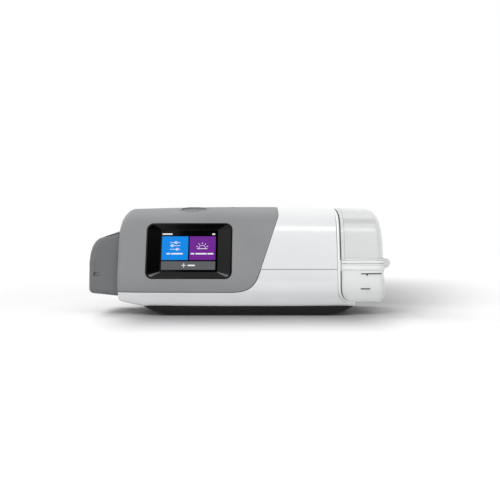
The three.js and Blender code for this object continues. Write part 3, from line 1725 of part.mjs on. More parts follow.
function buildTubDeck() {
  const inner = tubBlock(0, deckLow, deckHigh).subtract(rightOf(bulkheadRight));
  const bulkhead = caseForm(bulkheadInset, bulkheadLeft, bulkheadRight).intersect(
    slab(tubRim + fitGap, farTop),
  );
  const hollow = tubBlock(tubSideWall, farBottom, deckHigh - tubSideWall);
  const holes = [hollow, portHole(supplyY, portBore), portHole(returnY, portBore)];
  addPiece("tub_deck", cut(inner.add(bulkhead), holes), clearTub);

  const sealLow = tubRim + fitGap;
  const sealHigh = sealLow + tubSealThickness;
  const seal = cut(tubBlock(0, sealLow, sealHigh), [
    tubBlock(tubSideWall, farBottom, farTop),
    rightOf(tubStart),
  ]);
  addPiece("tub_seal", seal, silicone);
}

// The finger recess in the lid, an upturned dome set square to the sloping top
function gripScoop(grow) {
  const scoop = new THREE.SphereGeometry(1, roundSides, smallSides);
  scoop.scale(gripHalfLength + grow, gripHalfWidth + grow, gripHeight + grow);
  const rise = topAt(gripX, gripY + gripHalfWidth) - topAt(gripX, gripY - gripHalfWidth);
  scoop.rotateX(Math.atan(rise / (gripHalfWidth + gripHalfWidth)));
  scoop.translate(gripX, gripY, topAt(gripX, gripY) - gripDepth + gripHeight);
  return solidFromGeometry(scoop);
}

function buildTubLid() {
  const region = rightOf(lidLeft).intersect(slab(lidBottom, farTop));
  const dome = wholeForm.intersect(region);
  const flangeForm = caseForm(-flangeProud, bodyEndX, tubRight + flangeProud);
  const flange = flangeForm.intersect(region).intersect(slab(lidBottom, lidFlangeHigh));
  const hollow = caseForm(tubSideWall, bodyEndX, tubRight - tubSideWall);
  const thickened = hollow.subtract(gripScoop(tubSideWall));
  const first = lidHingeFront + lidEarWidth + lidSideGap;
  const last = lidHingeBack - lidEarWidth - lidSideGap - lidKnuckleWidth;
  const knuckles = [first, last].map((front) => {
    const back = front + lidKnuckleWidth;
    const arm = boxSolid(
      [tubRight - tubSideWall / 2, front, lidBottom],
      [lidHingeX, back, lidBottom + lidArmThickness],
    );
    return union([acrossRod(lidKnuckleRadius, front, back), arm]);
  });
  const bore = acrossRod(lidBarRadius + hingeGap, farFront, farBack);
  const mouth = boxSolid(
    [lidHingeX - lidClipMouth / 2, farFront, farBottom],
    [lidHingeX + lidClipMouth / 2, farBack, lidHingeHeight],
  );
  const shell = cut(union([dome, flange]), [thickened, gripScoop(0)]);
  const clips = cut(union(knuckles), [bore, mouth]);
  addPiece("tub_lid", shell.add(clips), clearTub);
}

buildBase();
buildScreen();
buildButton();
buildSensor();
buildFilterCover();
buildIntake();
buildShells();
buildMuffler();
buildBlowerCase();
buildRotor();
buildMotor();
buildDucts();
buildOutlet();
buildRearPanel();
buildPowerInlet();
buildCardSlot();
buildBay();
buildTubBase();
buildTubDeck();
buildTubLid();

export default ventilator;
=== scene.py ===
# A bedside home ventilator: a rounded grey and white case with a colour screen, a start button on top,
# a dark filter cover on the left end and a clear water tub on the right.
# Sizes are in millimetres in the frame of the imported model: +X right, -Y front, +Z up.
import json
import math
from itertools import product

import bmesh
import bpy
import numpy as np
from mathutils import Matrix, Vector
from mathutils.geometry import delaunay_2d_cdt


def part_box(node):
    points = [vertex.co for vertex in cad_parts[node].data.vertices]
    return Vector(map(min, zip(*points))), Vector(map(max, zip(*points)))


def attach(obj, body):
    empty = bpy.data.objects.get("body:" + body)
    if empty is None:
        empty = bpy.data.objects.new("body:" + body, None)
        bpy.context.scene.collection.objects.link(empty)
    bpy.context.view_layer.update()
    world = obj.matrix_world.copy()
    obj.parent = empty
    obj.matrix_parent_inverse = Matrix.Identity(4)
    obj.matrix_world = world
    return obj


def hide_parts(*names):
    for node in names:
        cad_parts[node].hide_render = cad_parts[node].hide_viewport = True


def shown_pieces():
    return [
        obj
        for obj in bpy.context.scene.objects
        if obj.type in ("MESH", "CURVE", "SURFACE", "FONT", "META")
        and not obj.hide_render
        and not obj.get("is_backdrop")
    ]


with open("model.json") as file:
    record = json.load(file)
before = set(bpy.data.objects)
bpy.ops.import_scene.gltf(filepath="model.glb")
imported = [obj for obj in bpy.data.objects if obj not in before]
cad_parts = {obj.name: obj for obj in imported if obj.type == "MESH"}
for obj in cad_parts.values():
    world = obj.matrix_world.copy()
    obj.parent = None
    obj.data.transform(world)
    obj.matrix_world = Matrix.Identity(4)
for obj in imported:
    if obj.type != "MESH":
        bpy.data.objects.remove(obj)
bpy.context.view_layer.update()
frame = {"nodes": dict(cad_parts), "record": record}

MM = 0.001
SPACING = 1.4

# Case form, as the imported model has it
FRONT_MOST = -69.25
CASE_BACK = 60.75
CASE_BOTTOM = 8
CASE_TOP = 94.5
CASE_LEFT = -104.3
TUB_RIGHT = 119.8
WALL = 2.4
SEAM = 0.3
FRONT_BULGE = 5
BACK_BULGE = 3
TOP_CROWN = 2
LEFT_PLAN_RADIUS = 6
LEFT_TOP = (8, 16)
LEFT_BOTTOM = (24, 5, 1.2)
RIGHT_PLAN_RADIUS = 7
RIGHT_TOP = (10, 38, 3.2)
RIGHT_BOTTOM = (4, 4)
FACE_TILT = math.radians(14)
FACE_LOW = 35
FACE_HIGH = 70

# Seam lines in the front view
WRAP_LOW = 20.2
WRAP_CURVE_START_X = -9
WRAP_CURVE_CONTROL_X = 8
WRAP_CURVE_END = (15, 37)
WRAP_TOP = (30.8, 84)
WRAP_CURVE_SHARE = 0.62
WRAP_SLOPE = (WRAP_TOP[0] - WRAP_CURVE_END[0]) / (WRAP_TOP[1] - WRAP_CURVE_END[1])
SEAM_HEIGHT = 38.9
SEAM_START_X = 15.7
BODY_END_X = 79.4
BODY_END_LOW = 25
TONGUE_HEIGHT = 10.9
TONGUE_TIP_X = 92.2
BEZEL_WIDTH = 2.7
BEZEL_DEPTH = 3.6
BEZEL_ROUND = 1.05
TUB_GAP = 0.7

# Screen and button, each in its own leaning frame
SCREEN_SIZE = (71.6, 47.6)
SCREEN_CORNER = 6
SCREEN_TURN = -0.0403151
SCREEN = (
    Matrix.Translation((-43.8, -62.1226, 54.6))
    @ Matrix.Rotation(SCREEN_TURN, 4, "Z")
    @ Matrix.Rotation(-FACE_TILT, 4, "X")
)
BUTTON_PLACE = (-41.9, -27)
BUTTON_TILT = 0.187752
BUTTON = Matrix.Translation((*BUTTON_PLACE, 91.272)) @ Matrix.Rotation(BUTTON_TILT, 4, "X")
BUTTON_HOLE_RADIUS = 13.5
SENSOR_PLACE = (-8, -20)
SENSOR_HOLE_RADIUS = 1.9

# Back: the panel with the power inlet and the card slot, and the hose outlet
PANEL_MIDDLE = (-60, 31.7)
PANEL_SIZE = (64, 18.6)
INLET_MIDDLE = (-43, 31.7)
INLET_SIZE = (17.8, 14.6)
CARD_MIDDLE = (-75, 30.9)
CARD_SIZE = (29.6, 12.2)
OUTLET_MIDDLE = (-3, 57.7)
OUTLET_HOLE_RADIUS = 11.3
HOLE_PLAY = 0.6

# Water tub and its lid
TUB_BOTTOM = 11.6
TUB_RIM = 42.9
TUB_WALL = 1.8
TUB_ROUND = 2.6
FLANGE = 0.8
BASE_FLANGE_LOW = 38
LID_BOTTOM = 43.5
LID_FLANGE_TOP = 47.3
BAND_DEPTH = 0.6
BAND_START = 0.4
LID_START = 86.0
LID_ROOF = 70
BLOCK_SIZE = (83.4, 83.2)
BLOCK_MIDDLE = (52.1, -2.8)
BLOCK_CORNER = 11
CUT_TOP = 46
PLATE_WINDOW = (50.6, 60.6, 1.0, (47, -2))
GRIP_MIDDLE = (96, -24)
GRIP_REACH = (14, 20)
SIDE_POINTS = 44
END_POINTS = 22
HINGE = (125.3, 43.7)
HINGE_RADIUS = 4.4
HINGE_FOOT_X = 118.9
ROD_RADIUS = 1.8

# Filter cover and its hinge at the back
COVER_WALL_X = -104.6
COVER_LEFT = -129.7
COVER_LOW = 16.2
COVER_HIGH = 71.4
COVER_MIDDLE_Z = (COVER_LOW + COVER_HIGH) / 2
COVER_FRONT = -53
COVER_BACK = 42
COVER_WALL = 2
COVER_ROUND = 5
NOTCH_MIDDLE = (-122.4, 34.7)
KNUCKLE_MIDDLE = (-107.6, 45)
KNUCKLE_RADIUS = 2.4
KNUCKLE_HEIGHT = 8

# Base
TRAY_SIZE = (178.2, 111.8)
TRAY_MIDDLE = (5.8, -3.3)
TRAY_CORNER = 10
TRAY_LOW = 0.8
TRAY_HIGH = 7.7
FEET = list(product((-53, 65), (-41, 33)))
SCREWS = list(product((-42, 54), (-52, 45.5)))

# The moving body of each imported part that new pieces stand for; all others are fixed to the case
MOVING = {
    "start_button": "start_button",
    "filter_cover": "filter_cover",
    "tub_base": "tub",
    "tub_lid": "tub_lid",
}


# Points
def columns(*values):
    """Points from their coordinates, where a single number holds for all of them."""
    return np.stack(np.broadcast_arrays(*values), axis=-1).astype(float)


def unit(vectors):
    return vectors / np.linalg.norm(vectors, axis=-1, keepdims=True)


def left_of(vectors):
    return columns(-vectors[:, 1], vectors[:, 0])


def heading(path):
    return unit(np.gradient(path, axis=0))


def line(start, end, step=SPACING):
    start, end = np.array(start, float), np.array(end, float)
    count = max(int(np.linalg.norm(end - start) / step), 1)
    return start + (end - start) * np.linspace(0, 1, count + 1)[:, None]


def arc(radius, first, last, count, middle):
    """Points along an arc between two angles in degrees."""
    turns = np.radians(np.linspace(first, last, count))
    return columns(np.cos(turns), np.sin(turns)) * radius + middle


def circle(radius, middle=(0, 0), sides=64):
    angles = np.linspace(0, 2 * math.pi, sides, endpoint=False)
    return columns(np.cos(angles), np.sin(angles)) * radius + middle


def rounded(width, height, radius, middle=(0, 0), steps=8):
    """An anticlockwise rounded rectangle with the same number of points whatever its size."""
    points = []
    for corner, (side_x, side_y) in enumerate([(1, -1), (1, 1), (-1, 1), (-1, -1)]):
        inner = np.array([side_x * (width / 2 - radius), side_y * (height / 2 - radius)])
        angles = (corner - 1 + np.linspace(0, 1, steps + 1)) * math.pi / 2
        points.append(inner + radius * columns(np.cos(angles), np.sin(angles)))
    return np.concatenate(points) + middle


def rounded_loop(width, height, radius, middle=(0, 0)):
    """A rounded rectangle with points along its straight sides."""
    corners = rounded(width, height, radius)
    pairs = zip(corners, np.roll(corners, -1, axis=0))
    sides = [line(a, b)[:-1] for a, b in pairs if np.linalg.norm(b - a) > 1e-6]
    return np.concatenate(sides) + middle


def quarter_round(radius, count):
    """Two insets along a quarter round: the first grows from nought as the second shrinks to nought."""
    turns = np.radians(np.linspace(0, 90, count))
    return [(radius * (1 - math.cos(a)), radius * (1 - math.sin(a))) for a in turns]


def bezier(points, steps=28):
    """Points along a curve of two, three or four control points, without its first point."""
    shares = np.linspace(0, 1, steps + 1)[1:, None]
    points = [np.array(point, float) for point in points]
    while len(points) > 1:
        points = [a * (1 - shares) + b * shares for a, b in zip(points[:-1], points[1:])]
    return points[0]


def lengths_along(points):
    return np.concatenate([[0], np.cumsum(np.linalg.norm(np.diff(points, axis=0), axis=1))])


def points_at(places, lengths, points):
    return columns(*[np.interp(places, lengths, axis) for axis in points.T])


def spread(path):
    """Points at about even steps along a path."""
    lengths = lengths_along(path)
    count = max(int(lengths[-1] / SPACING), 2)
    return points_at(np.linspace(0, lengths[-1], count + 1), lengths, path)


def upright(loop, height):
    """A loop drawn from above, at a height."""
    return columns(*loop.T, height)


def across(loop, depth):
    """A loop drawn in the front view, at a depth."""
    return columns(loop[:, 0], depth, loop[:, 1])


def endways(loop, x):
    """A loop drawn from the end, at a place along the length."""
    return columns(x, *loop.T)


# Case skin
def side_profile():
    """The case's side profile (y, z) at its middle, from the front edge of the bottom, up and over."""
    lean = math.tan(FACE_TILT)
    foot = (FRONT_MOST + 9, CASE_BOTTOM)
    low_y = FRONT_MOST + 0.8
    high_y = low_y + (FACE_HIGH - FACE_LOW) * lean
    rear_y = CASE_BACK - 2.4
    outline = [np.array([foot], float)]
    for curve in [
        [(FRONT_MOST + 1.6, 20.5)],
        [(FRONT_MOST - 0.8, 27.75), (low_y, FACE_LOW)],
        [(high_y, FACE_HIGH)],
        [(high_y + 9 * lean, FACE_HIGH + 9), (-54, 84), (-44, 87.6)],
        [(-32, 91.2), (-17, CASE_TOP), (5, CASE_TOP)],
        [(17, CASE_TOP), (26, 92.2), (38, 90.6)],
        [(52, 89), (rear_y, 78), (rear_y, 64)],
        [(CASE_BACK, 30)],
        [(CASE_BACK, 9.6), (CASE_BACK - 8, CASE_BOTTOM)],
        [foot],
    ]:
        outline.append(bezier([outline[-1][-1], *curve]))
    return np.concatenate(outline)[:-1]


def even_profile(points, step=0.5, soften=1.4):
    """The closed profile at even steps, with its creases eased a little."""
    closed = np.vstack([points, points[:1]])
    lengths = lengths_along(closed)
    places = np.linspace(0, lengths[-1], int(lengths[-1] / step), endpoint=False)
    even = points_at(places, lengths, closed)
    reach = int(3 * soften / step)
    weights = np.exp(-0.5 * (np.arange(-reach, reach + 1) * step / soften) ** 2)
    weights /= weights.sum()
    padded = np.vstack([even[-reach:], even, even[:reach]])
    return places, columns(*[np.convolve(axis, weights, "valid") for axis in padded.T]), lengths[-1]


PLACES, PROFILE, AROUND = even_profile(side_profile())
CROWN = int(np.argmax(PROFILE[:, 1]))
FOOT_BACK = CROWN + int(np.argmin(np.abs(PROFILE[CROWN:, 0] - (CASE_BACK - 8)) + PROFILE[CROWN:, 1]))
FRONT_SIDE = slice(0, CROWN + 1)
BACK_SIDE = slice(FOOT_BACK, CROWN - 1, -1)
TOP_SIDE = slice(CROWN - 160, CROWN + 100)


def profile_at(s):
    closed = np.vstack([PROFILE, PROFILE[:1]])
    return [np.interp(np.mod(s, AROUND), np.append(PLACES, AROUND), axis) for axis in closed.T]


def corner_inset(distance, reach, drop, squareness=2):
    """How far a rounded corner draws in at a distance from the end."""
    share = np.clip(1 - np.maximum(distance, 0) / reach, 0, 1)
    return drop * (1 - (1 - share**squareness) ** (1 / squareness))


def extents(x):
    """Front, back, bottom and top of the case at a place along its length."""
    middle = (CASE_LEFT + TUB_RIGHT) / 2
    bow = ((x - middle) / (TUB_RIGHT - middle)) ** 2
    left = x - CASE_LEFT
    right = TUB_RIGHT - x
    plan = corner_inset(left, LEFT_PLAN_RADIUS, LEFT_PLAN_RADIUS)
    plan = plan + corner_inset(right, RIGHT_PLAN_RADIUS, RIGHT_PLAN_RADIUS)
    top = corner_inset(left, *LEFT_TOP) + corner_inset(right, *RIGHT_TOP)
    bottom = corner_inset(left, *LEFT_BOTTOM) + corner_inset(right, *RIGHT_BOTTOM)
    front = FRONT_MOST + FRONT_BULGE * bow + plan
    back = CASE_BACK - BACK_BULGE * bow - plan
    return front, back, CASE_BOTTOM + bottom, CASE_TOP - TOP_CROWN * bow - top


# The case skin is drawn on a flat chart: u runs along the length, and s runs round the profile.
# Where an end rounds off, u follows the arc.
LEFT_U = CASE_LEFT + LEFT_PLAN_RADIUS * (1 - math.pi / 2)
RIGHT_U = TUB_RIGHT - RIGHT_PLAN_RADIUS * (1 - math.pi / 2)


def x_of(u):
    left = CASE_LEFT + LEFT_PLAN_RADIUS * (1 - np.cos((u - LEFT_U) / LEFT_PLAN_RADIUS))
    right = TUB_RIGHT - RIGHT_PLAN_RADIUS * (1 - np.cos((RIGHT_U - u) / RIGHT_PLAN_RADIUS))
    from_left = np.where(u < CASE_LEFT + LEFT_PLAN_RADIUS, left, u)
    return np.where(u > TUB_RIGHT - RIGHT_PLAN_RADIUS, right, from_left)


def u_of(x):
    table = np.linspace(LEFT_U, RIGHT_U, 4000)
    return np.interp(x, x_of(table), table)


def skin(u, s):
    """Points of the case's outer skin."""
    u, s = np.broadcast_arrays(np.asarray(u, float), np.asarray(s, float))
    x = x_of(u)
    y, z = profile_at(s)
    front, back, bottom, top = extents(x)
    y = front + (y - FRONT_MOST) * (back - front) / (CASE_BACK - FRONT_MOST)
    z = bottom + (z - CASE_BOTTOM) * (top - bottom) / (CASE_TOP - CASE_BOTTOM)
    return columns(x, y, z)


def lifted(chart, lift, reach=0.4):
    """Points above the skin, or below it where the lift is negative."""
    u, s = np.asarray(chart, float).T
    u_inside = np.clip(u, LEFT_U + reach, RIGHT_U - reach)
    along = skin(u_inside + reach, s) - skin(u_inside - reach, s)
    around = skin(u_inside, s + reach) - skin(u_inside, s - reach)
    return skin(u, s) + unit(np.cross(along, around)) * np.broadcast_to(lift, u.shape)[:, None]


def profile_height(x, z):
    _, _, bottom, top = extents(np.asarray(x, float))
    return CASE_BOTTOM + (z - bottom) * (CASE_TOP - CASE_BOTTOM) / (top - bottom)


def s_front(x, z):
    """Where the front side of the skin has a height."""
    return np.interp(profile_height(x, z), PROFILE[FRONT_SIDE, 1], PLACES[FRONT_SIDE])


def s_back(x, z):
    return np.interp(profile_height(x, z), PROFILE[BACK_SIDE, 1], PLACES[BACK_SIDE])


def s_top(x, y):
    """Where the top of the skin has a depth y."""
    front, back, _, _ = extents(np.asarray(x, float))
    depth = FRONT_MOST + (y - front) * (CASE_BACK - FRONT_MOST) / (back - front)
    return np.interp(depth, PROFILE[TOP_SIDE, 0], PLACES[TOP_SIDE])


def on_chart(points, side):
    """Chart points of places that are given in a view: in front, at the back or on top."""
    first, second = np.asarray(points, float).T
    return columns(u_of(first), side(first, second))


def front_chart(points):
    return on_chart(points, s_front)


def back_chart(points):
    return on_chart(points, s_back)


# Meshes
def inside(points, loop):
    """Which points lie inside a loop."""
    x, y = points[:, 0, None], points[:, 1, None]
    ax, ay = loop[:, 0], loop[:, 1]
    bx, by = np.roll(ax, -1), np.roll(ay, -1)
    rise = np.where(by == ay, 1, by - ay)
    crosses = ((ay > y) != (by > y)) & (x < (bx - ax) * (y - ay) / rise + ax)
    return crosses.sum(axis=1) % 2 == 1


def distance_to(points, loop, batch=1500):
    """How far the points lie from a loop, worked out in batches to spare memory."""
    a = loop
    ab = np.roll(loop, -1, axis=0) - a
    found = []
    for part in np.array_split(points, max(len(points) // batch, 1)):
        ap = part[:, None] - a
        share = np.clip((ap * ab).sum(axis=2) / np.maximum((ab * ab).sum(axis=1), 1e-9), 0, 1)
        found.append(np.linalg.norm(ap - share[..., None] * ab, axis=2).min(axis=1))
    return np.concatenate(found)


def inward(loop, distance):
    """The loop moved to its left by a distance: inwards for a loop that runs anticlockwise."""
    a = left_of(unit(loop - np.roll(loop, 1, axis=0)))
    b = left_of(unit(np.roll(loop, -1, axis=0) - loop))
    return loop + distance * (a + b) / np.maximum(1 + (a * b).sum(axis=1, keepdims=True), 0.4)


def tidy_loop(points):
    """The loop without repeated points, running anticlockwise."""
    points = np.asarray(points, float)
    points = points[np.linalg.norm(points - np.roll(points, 1, axis=0), axis=1) > 1e-3]
    x, y = points.T
    clockwise = (x * np.roll(y, -1) - y * np.roll(x, -1)).sum() < 0
    return points[::-1] if clockwise else points


def within(points, loops):
    """Which points lie inside the first loop and outside the others."""
    fits = inside(points, loops[0])
    for hole in loops[1:]:
        fits &= ~inside(points, hole)
    return fits


def fill(outer, holes=(), step=2.0, fringe=0.9, lines=()):
    """Triangles over the region between an outer loop and its holes, on an even grid."""
    loops = [tidy_loop(loop) for loop in (outer, *holes)]
    low, high = loops[0].min(axis=0), loops[0].max(axis=0)
    axes = [np.arange(low[i] + step / 2, high[i], step) for i in (0, 1)]
    grid = np.stack(np.meshgrid(*axes), axis=-1).reshape(-1, 2)
    sides = [inward(loop, fringe if i == 0 else -fringe) for i, loop in enumerate(loops)]
    extra = [(np.concatenate(sides), 0.8 * fringe), (grid, fringe + 0.5 * step)]
    extra += [(np.asarray(points, float), 0.5 * fringe) for points in lines]
    kept = list(loops)
    for points, least in extra:
        points = points[within(points, loops)]
        for loop in loops:
            if len(points):
                points = points[distance_to(points, loop) >= least]
        kept.append(points)
    edges, first = [], 0
    for loop in loops:
        edges += [(first + i, first + (i + 1) % len(loop)) for i in range(len(loop))]
        first += len(loop)
    found = delaunay_2d_cdt([Vector(v) for v in np.concatenate(kept)], edges, [], 0, 1e-5)
    vertices = np.array([v[:] for v in found[0]], float)
    triangles = np.array([f for f in found[2] if len(f) == 3], int)
    triangles = triangles[within(vertices[triangles].mean(axis=1), loops)]
    corners = vertices[triangles]
    ab, ac = corners[:, 1] - corners[:, 0], corners[:, 2] - corners[:, 0]
    clockwise = ab[:, 0] * ac[:, 1] - ab[:, 1] * ac[:, 0] < 0
    triangles[clockwise] = triangles[clockwise][:, ::-1]
    return vertices, triangles


class Form:
    """Vertices and faces that are collected into one mesh."""

    def __init__(self):
        self.vertices = []
        self.faces = []
        self.count = 0

    def add(self, vertices, faces):
        vertices = np.asarray(vertices, float).reshape(-1, 3)
        self.vertices.append(vertices)
        self.faces += [tuple(int(i) + self.count for i in face) for face in faces]
        self.count += len(vertices)
        return self

    def patch(self, chart, place):
        vertices, triangles = chart
        return self.add(place(vertices), triangles)

    def rings(self, rings, closed=False):
        """Rings of matching points joined side to side. Anticlockwise rings that go up face outwards."""
        rings = np.asarray(rings, float)
        total, size = rings.shape[:2]
        faces = []
        for row in range(total if closed else total - 1):
            a, b = row * size, (row + 1) % total * size
            for i in range(size):
                j = (i + 1) % size
                faces.append((a + i, a + j, b + j, b + i))
        if not closed:
            faces.append(tuple(reversed(range(size))))
            faces.append(tuple(range((total - 1) * size, total * size)))
        return self.add(rings, faces)

    def prism(self, loop, low, high, place=upright):
        """A straight piece of any outline between two levels."""
        return self.rings([place(loop, level) for level in (low, high)])

    def lengthwise(self, edges, closed=False):
        """A bar from the lines of its long edges."""
        return self.rings(np.stack(edges, axis=1), closed)

    def lathe(self, profile, sides=64, middle=(0, 0, 0), axis="Z"):
        """A profile of (radius, height) turned about an axis."""
        order = {"Z": [0, 1, 2], "Y": [1, 2, 0]}[axis]
        rings = [
            columns(*circle(max(radius, 1e-4), sides=sides).T, height)[:, order] + middle
            for radius, height in profile
        ]
        closed = np.allclose(profile[0], profile[-1])
        return self.rings(rings[:-1] if closed else rings, closed)


def linked(name, data):
    piece = bpy.data.objects.new(name, data)
    bpy.context.scene.collection.objects.link(piece)
    return piece


def meshed(name, vertices, faces):
    mesh = bpy.data.meshes.new(name)
    mesh.from_pydata((vertices * MM).tolist(), [], faces)
    return linked(name, mesh)


def smoothed(piece, angle=38):
    piece.data.shade_smooth()
    piece.data.set_sharp_from_angle(angle=math.radians(angle))
    return piece


def applied(piece):
    """The piece with its modifiers made part of its mesh."""
    graph = bpy.context.evaluated_depsgraph_get()
    mesh = bpy.data.meshes.new_from_object(piece.evaluated_get(graph))
    piece.modifiers.clear()
    piece.data = mesh
    return smoothed(piece)


def make(node, name, form, material):
    """A piece from a form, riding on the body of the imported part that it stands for."""
    piece = meshed(name, np.concatenate(form.vertices), form.faces)
    piece.data.validate()
    piece.data.materials.append(material)
    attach(piece, MOVING.get(node, "root"))
    if node:
        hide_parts(node)
    return piece


def bevelled(piece, width, segments, limit):
    edge = piece.modifiers.new("edges", "BEVEL")
    edge.width = width * MM
    edge.segments = segments
    edge.limit_method = "ANGLE"
    edge.angle_limit = math.radians(limit)
    edge.use_clamp_overlap = True
    return piece


def grown(node, name, form, material, wall=WALL, bevel=0.4):
    """A shell: a sheet on the skin that grows inwards by its wall, with eased edges."""
    piece = make(node, name, form, material)
    piece.modifiers.new("weld", "WELD").merge_threshold = 0.00002
    shell = piece.modifiers.new("wall", "SOLIDIFY")
    shell.thickness = wall * MM
    shell.offset = -1
    return applied(bevelled(piece, bevel, 3, 50))


def outwards(piece):
    tool = bmesh.new()
    tool.from_mesh(piece.data)
    bmesh.ops.recalc_face_normals(tool, faces=tool.faces)
    tool.to_mesh(piece.data)
    tool.free()
    return piece


def solid(node, name, form, material, angle=38):
    """A closed piece, with all its faces turned outwards."""
    return smoothed(outwards(make(node, name, form, material)), angle)


def combined(piece, form, operation="DIFFERENCE"):
    """The piece cut by, or joined with, another form."""
    other = outwards(meshed("cutter", np.concatenate(form.vertices), form.faces))
    modifier = piece.modifiers.new("cut", "BOOLEAN")
    modifier.operation = operation
    modifier.solver = "EXACT"
    modifier.object = other
    bpy.context.view_layer.update()
    applied(piece)
    bpy.data.objects.remove(other)


def eased(edge):
    """The steps of an eased edge, as (inset, rise)."""
    return [(edge, 0), (edge * 0.3, edge * 0.3), (0, edge)]


def plate(loop, low, high, steps=eased(0.3), place=upright):
    """A plate of any outline with eased edges."""
    levels = [(inset, low + rise) for inset, rise in steps]
    levels += [(inset, high - rise) for inset, rise in reversed(steps)]
    return Form().rings([place(inward(loop, inset), level) for inset, level in levels])


def drum(radius, low, high, top_radius=None):
    """The profile of a plain round hole or peg."""
    return [(0, low), (radius, low), (top_radius or radius, high), (0, high)]


def pin(radius, low, high, ease=0.3):
    """The profile of a round pin with eased ends."""
    inner = radius - ease
    return [(0, low), (inner, low), (radius, low + ease), (radius, high - ease), (inner, high), (0, high)]


def placed(matrix, points):
    return np.asarray(points, float) @ np.array(matrix.to_3x3()).T + np.array(matrix.translation)


def shifted(form, matrix):
    form.vertices = [placed(matrix, vertices) for vertices in form.vertices]
    return form


# Finishes
class Value:
    """A socket, for arithmetic: an expression adds its Math nodes."""

    def __init__(self, nodes, socket):
        self.nodes = nodes
        self.socket = socket

    def __add__(self, other):
        return self.nodes.maths("ADD", self, other)

    def __sub__(self, other):
        return self.nodes.maths("SUBTRACT", self, other)

    def __rsub__(self, other):
        return self.nodes.maths("SUBTRACT", other, self)

    def __mul__(self, other):
        return self.nodes.maths("MULTIPLY", self, other)

    def __truediv__(self, other):
        return self.nodes.maths("DIVIDE", self, other)

    __radd__ = __add__
    __rmul__ = __mul__


class Nodes:
    """The nodes of a material or of the world."""

    def __init__(self, owner):
        owner.use_nodes = True
        self.tree = owner.node_tree
        self.tree.nodes.clear()

    def node(self, kind, settings, *inputs, output=0, **named):
        """Adds a node of a type with its settings, and the values or links of its sockets."""
        node = self.tree.nodes.new("ShaderNode" + kind)
        for key, value in settings.items():
            setattr(node, key, value)
        for place, value in [*enumerate(inputs), *named.items()]:
            self.join(value, node.inputs[place if isinstance(place, int) else place.replace("_", " ")])
        return Value(self, node.outputs[output]) if node.outputs else None

    def join(self, value, socket):
        if isinstance(value, Value):
            self.tree.links.new(value.socket, socket)
        elif value is not None:
            socket.default_value = value

    def maths(self, operation, *values):
        return self.node("Math", {"operation": operation}, *values)

    def vectors(self, operation, *values, output=0):
        return self.node("VectorMath", {"operation": operation}, *values, output=output)

    def mixed(self, mask, first, second):
        number_sockets = [None] * 5
        return self.node("Mix", {"data_type": "RGBA"}, mask, *number_sockets, first, second, output=2)


SLOTS = {}


class Finish(Nodes):
    """A material built round one Principled shader. Its slot is called after it, or by its own name."""

    def __init__(self, name, colour, roughness, slot=None, **constants):
        self.material = bpy.data.materials.new(name)
        SLOTS[self.material] = slot or name.replace(" ", "_")
        super().__init__(self.material)
        shader = self.node("BsdfPrincipled", {})
        self.node("OutputMaterial", {}, shader)
        self.sockets = shader.socket.node.inputs
        self.colour = linear(colour)
        self.put("Base Color", self.colour)
        self.put("Roughness", roughness)
        for socket, value in constants.items():
            self.put(socket.replace("_", " ").title().replace("Ior", "IOR"), value)
        self.place = self.node("TexCoord", {}, output="Object")

    def put(self, socket, value):
        self.join(value, self.sockets[socket])

    def noise(self, scale, detail=2.0, roughness=0.5, stretch=None):
        place = self.vectors("MULTIPLY", self.place, stretch) if stretch else self.place
        return self.node("TexNoise", {}, Vector=place, Scale=scale, Detail=detail, Roughness=roughness)

    def tint(self, mask, colour):
        """The base colour, moved towards another one where the mask is high."""
        self.put("Base Color", self.mixed(mask, self.colour, linear(colour)))

    def bump(self, height, distance):
        """Relief of a depth in millimetres."""
        self.put("Normal", self.node("Bump", {}, Strength=1.0, Distance=distance * MM, Height=height))


def linear(colour):
    """A colour given as screen values from 0 to 255, as the shader takes it."""
    shares = [channel / 255 for channel in colour]
    return (*[c / 12.92 if c <= 0.04045 else ((c + 0.055) / 1.055) ** 2.4 for c in shares], 1)


def shaded(colour, share):
    return tuple(channel * share for channel in colour)


def plastic(name, colour, roughness, share=0.04, grain=2600, depth=0.02, gloss=0.06, **constants):
    """Moulded plastic, with a fine grain, and slow changes of tone and gloss."""
    finish = Finish(name, colour, roughness, **constants)
    cloud = finish.noise(22, 3.0)
    fine = finish.noise(grain, 1.0)
    finish.tint((cloud - 0.35) * 2.4, shaded(colour, 1 - share))
    finish.put("Roughness", roughness + (cloud - 0.5) * gloss + (fine - 0.5) * gloss * 0.5)
    finish.bump(fine, depth)
    return finish.material


def metal(name, colour, roughness, stretch=(1, 60, 60)):
    """Rolled or turned metal, with fine lines along one direction."""
    finish = Finish(name, colour, roughness, metallic=1.0)
    lines = finish.noise(420, 3.0, 0.6, stretch)
    finish.tint(lines * 0.5, shaded(colour, 0.8))
    finish.put("Roughness", roughness + (lines - 0.5) * 0.25)
    finish.bump(lines, 0.012)
    return finish.material


def woven(name, colour, pore_shade, scale, depth):
    """An open cell foam or a fibrous pad."""
    finish = Finish(name, colour, 0.95)
    cells = finish.node("TexVoronoi", {"feature": "F1"}, Vector=finish.place, Scale=scale, Randomness=1.0)
    # The colour darkens towards each cell's middle, where the bump sinks: painted shade in the pores.
    finish.tint(1 - cells * 1.4, pore_shade)
    finish.bump(cells, depth)
    return finish.material


def circuit_board():
    finish = Finish("board", (31, 90, 58), 0.45)
    tracks = finish.node(
        "TexBrick",
        {"offset": 0.5, "squash": 1.0},
        Vector=finish.place,
        Color1=(1, 1, 1, 1),
        Color2=(0.75, 0.75, 0.75, 1),
        Mortar=(0, 0, 0, 1),
        Scale=220.0,
    )
    copper = finish.node("RGBToBW", {}, tracks)
    finish.tint(copper * 0.6, (18, 62, 40))
    finish.bump(copper, 0.03)
    return finish.material


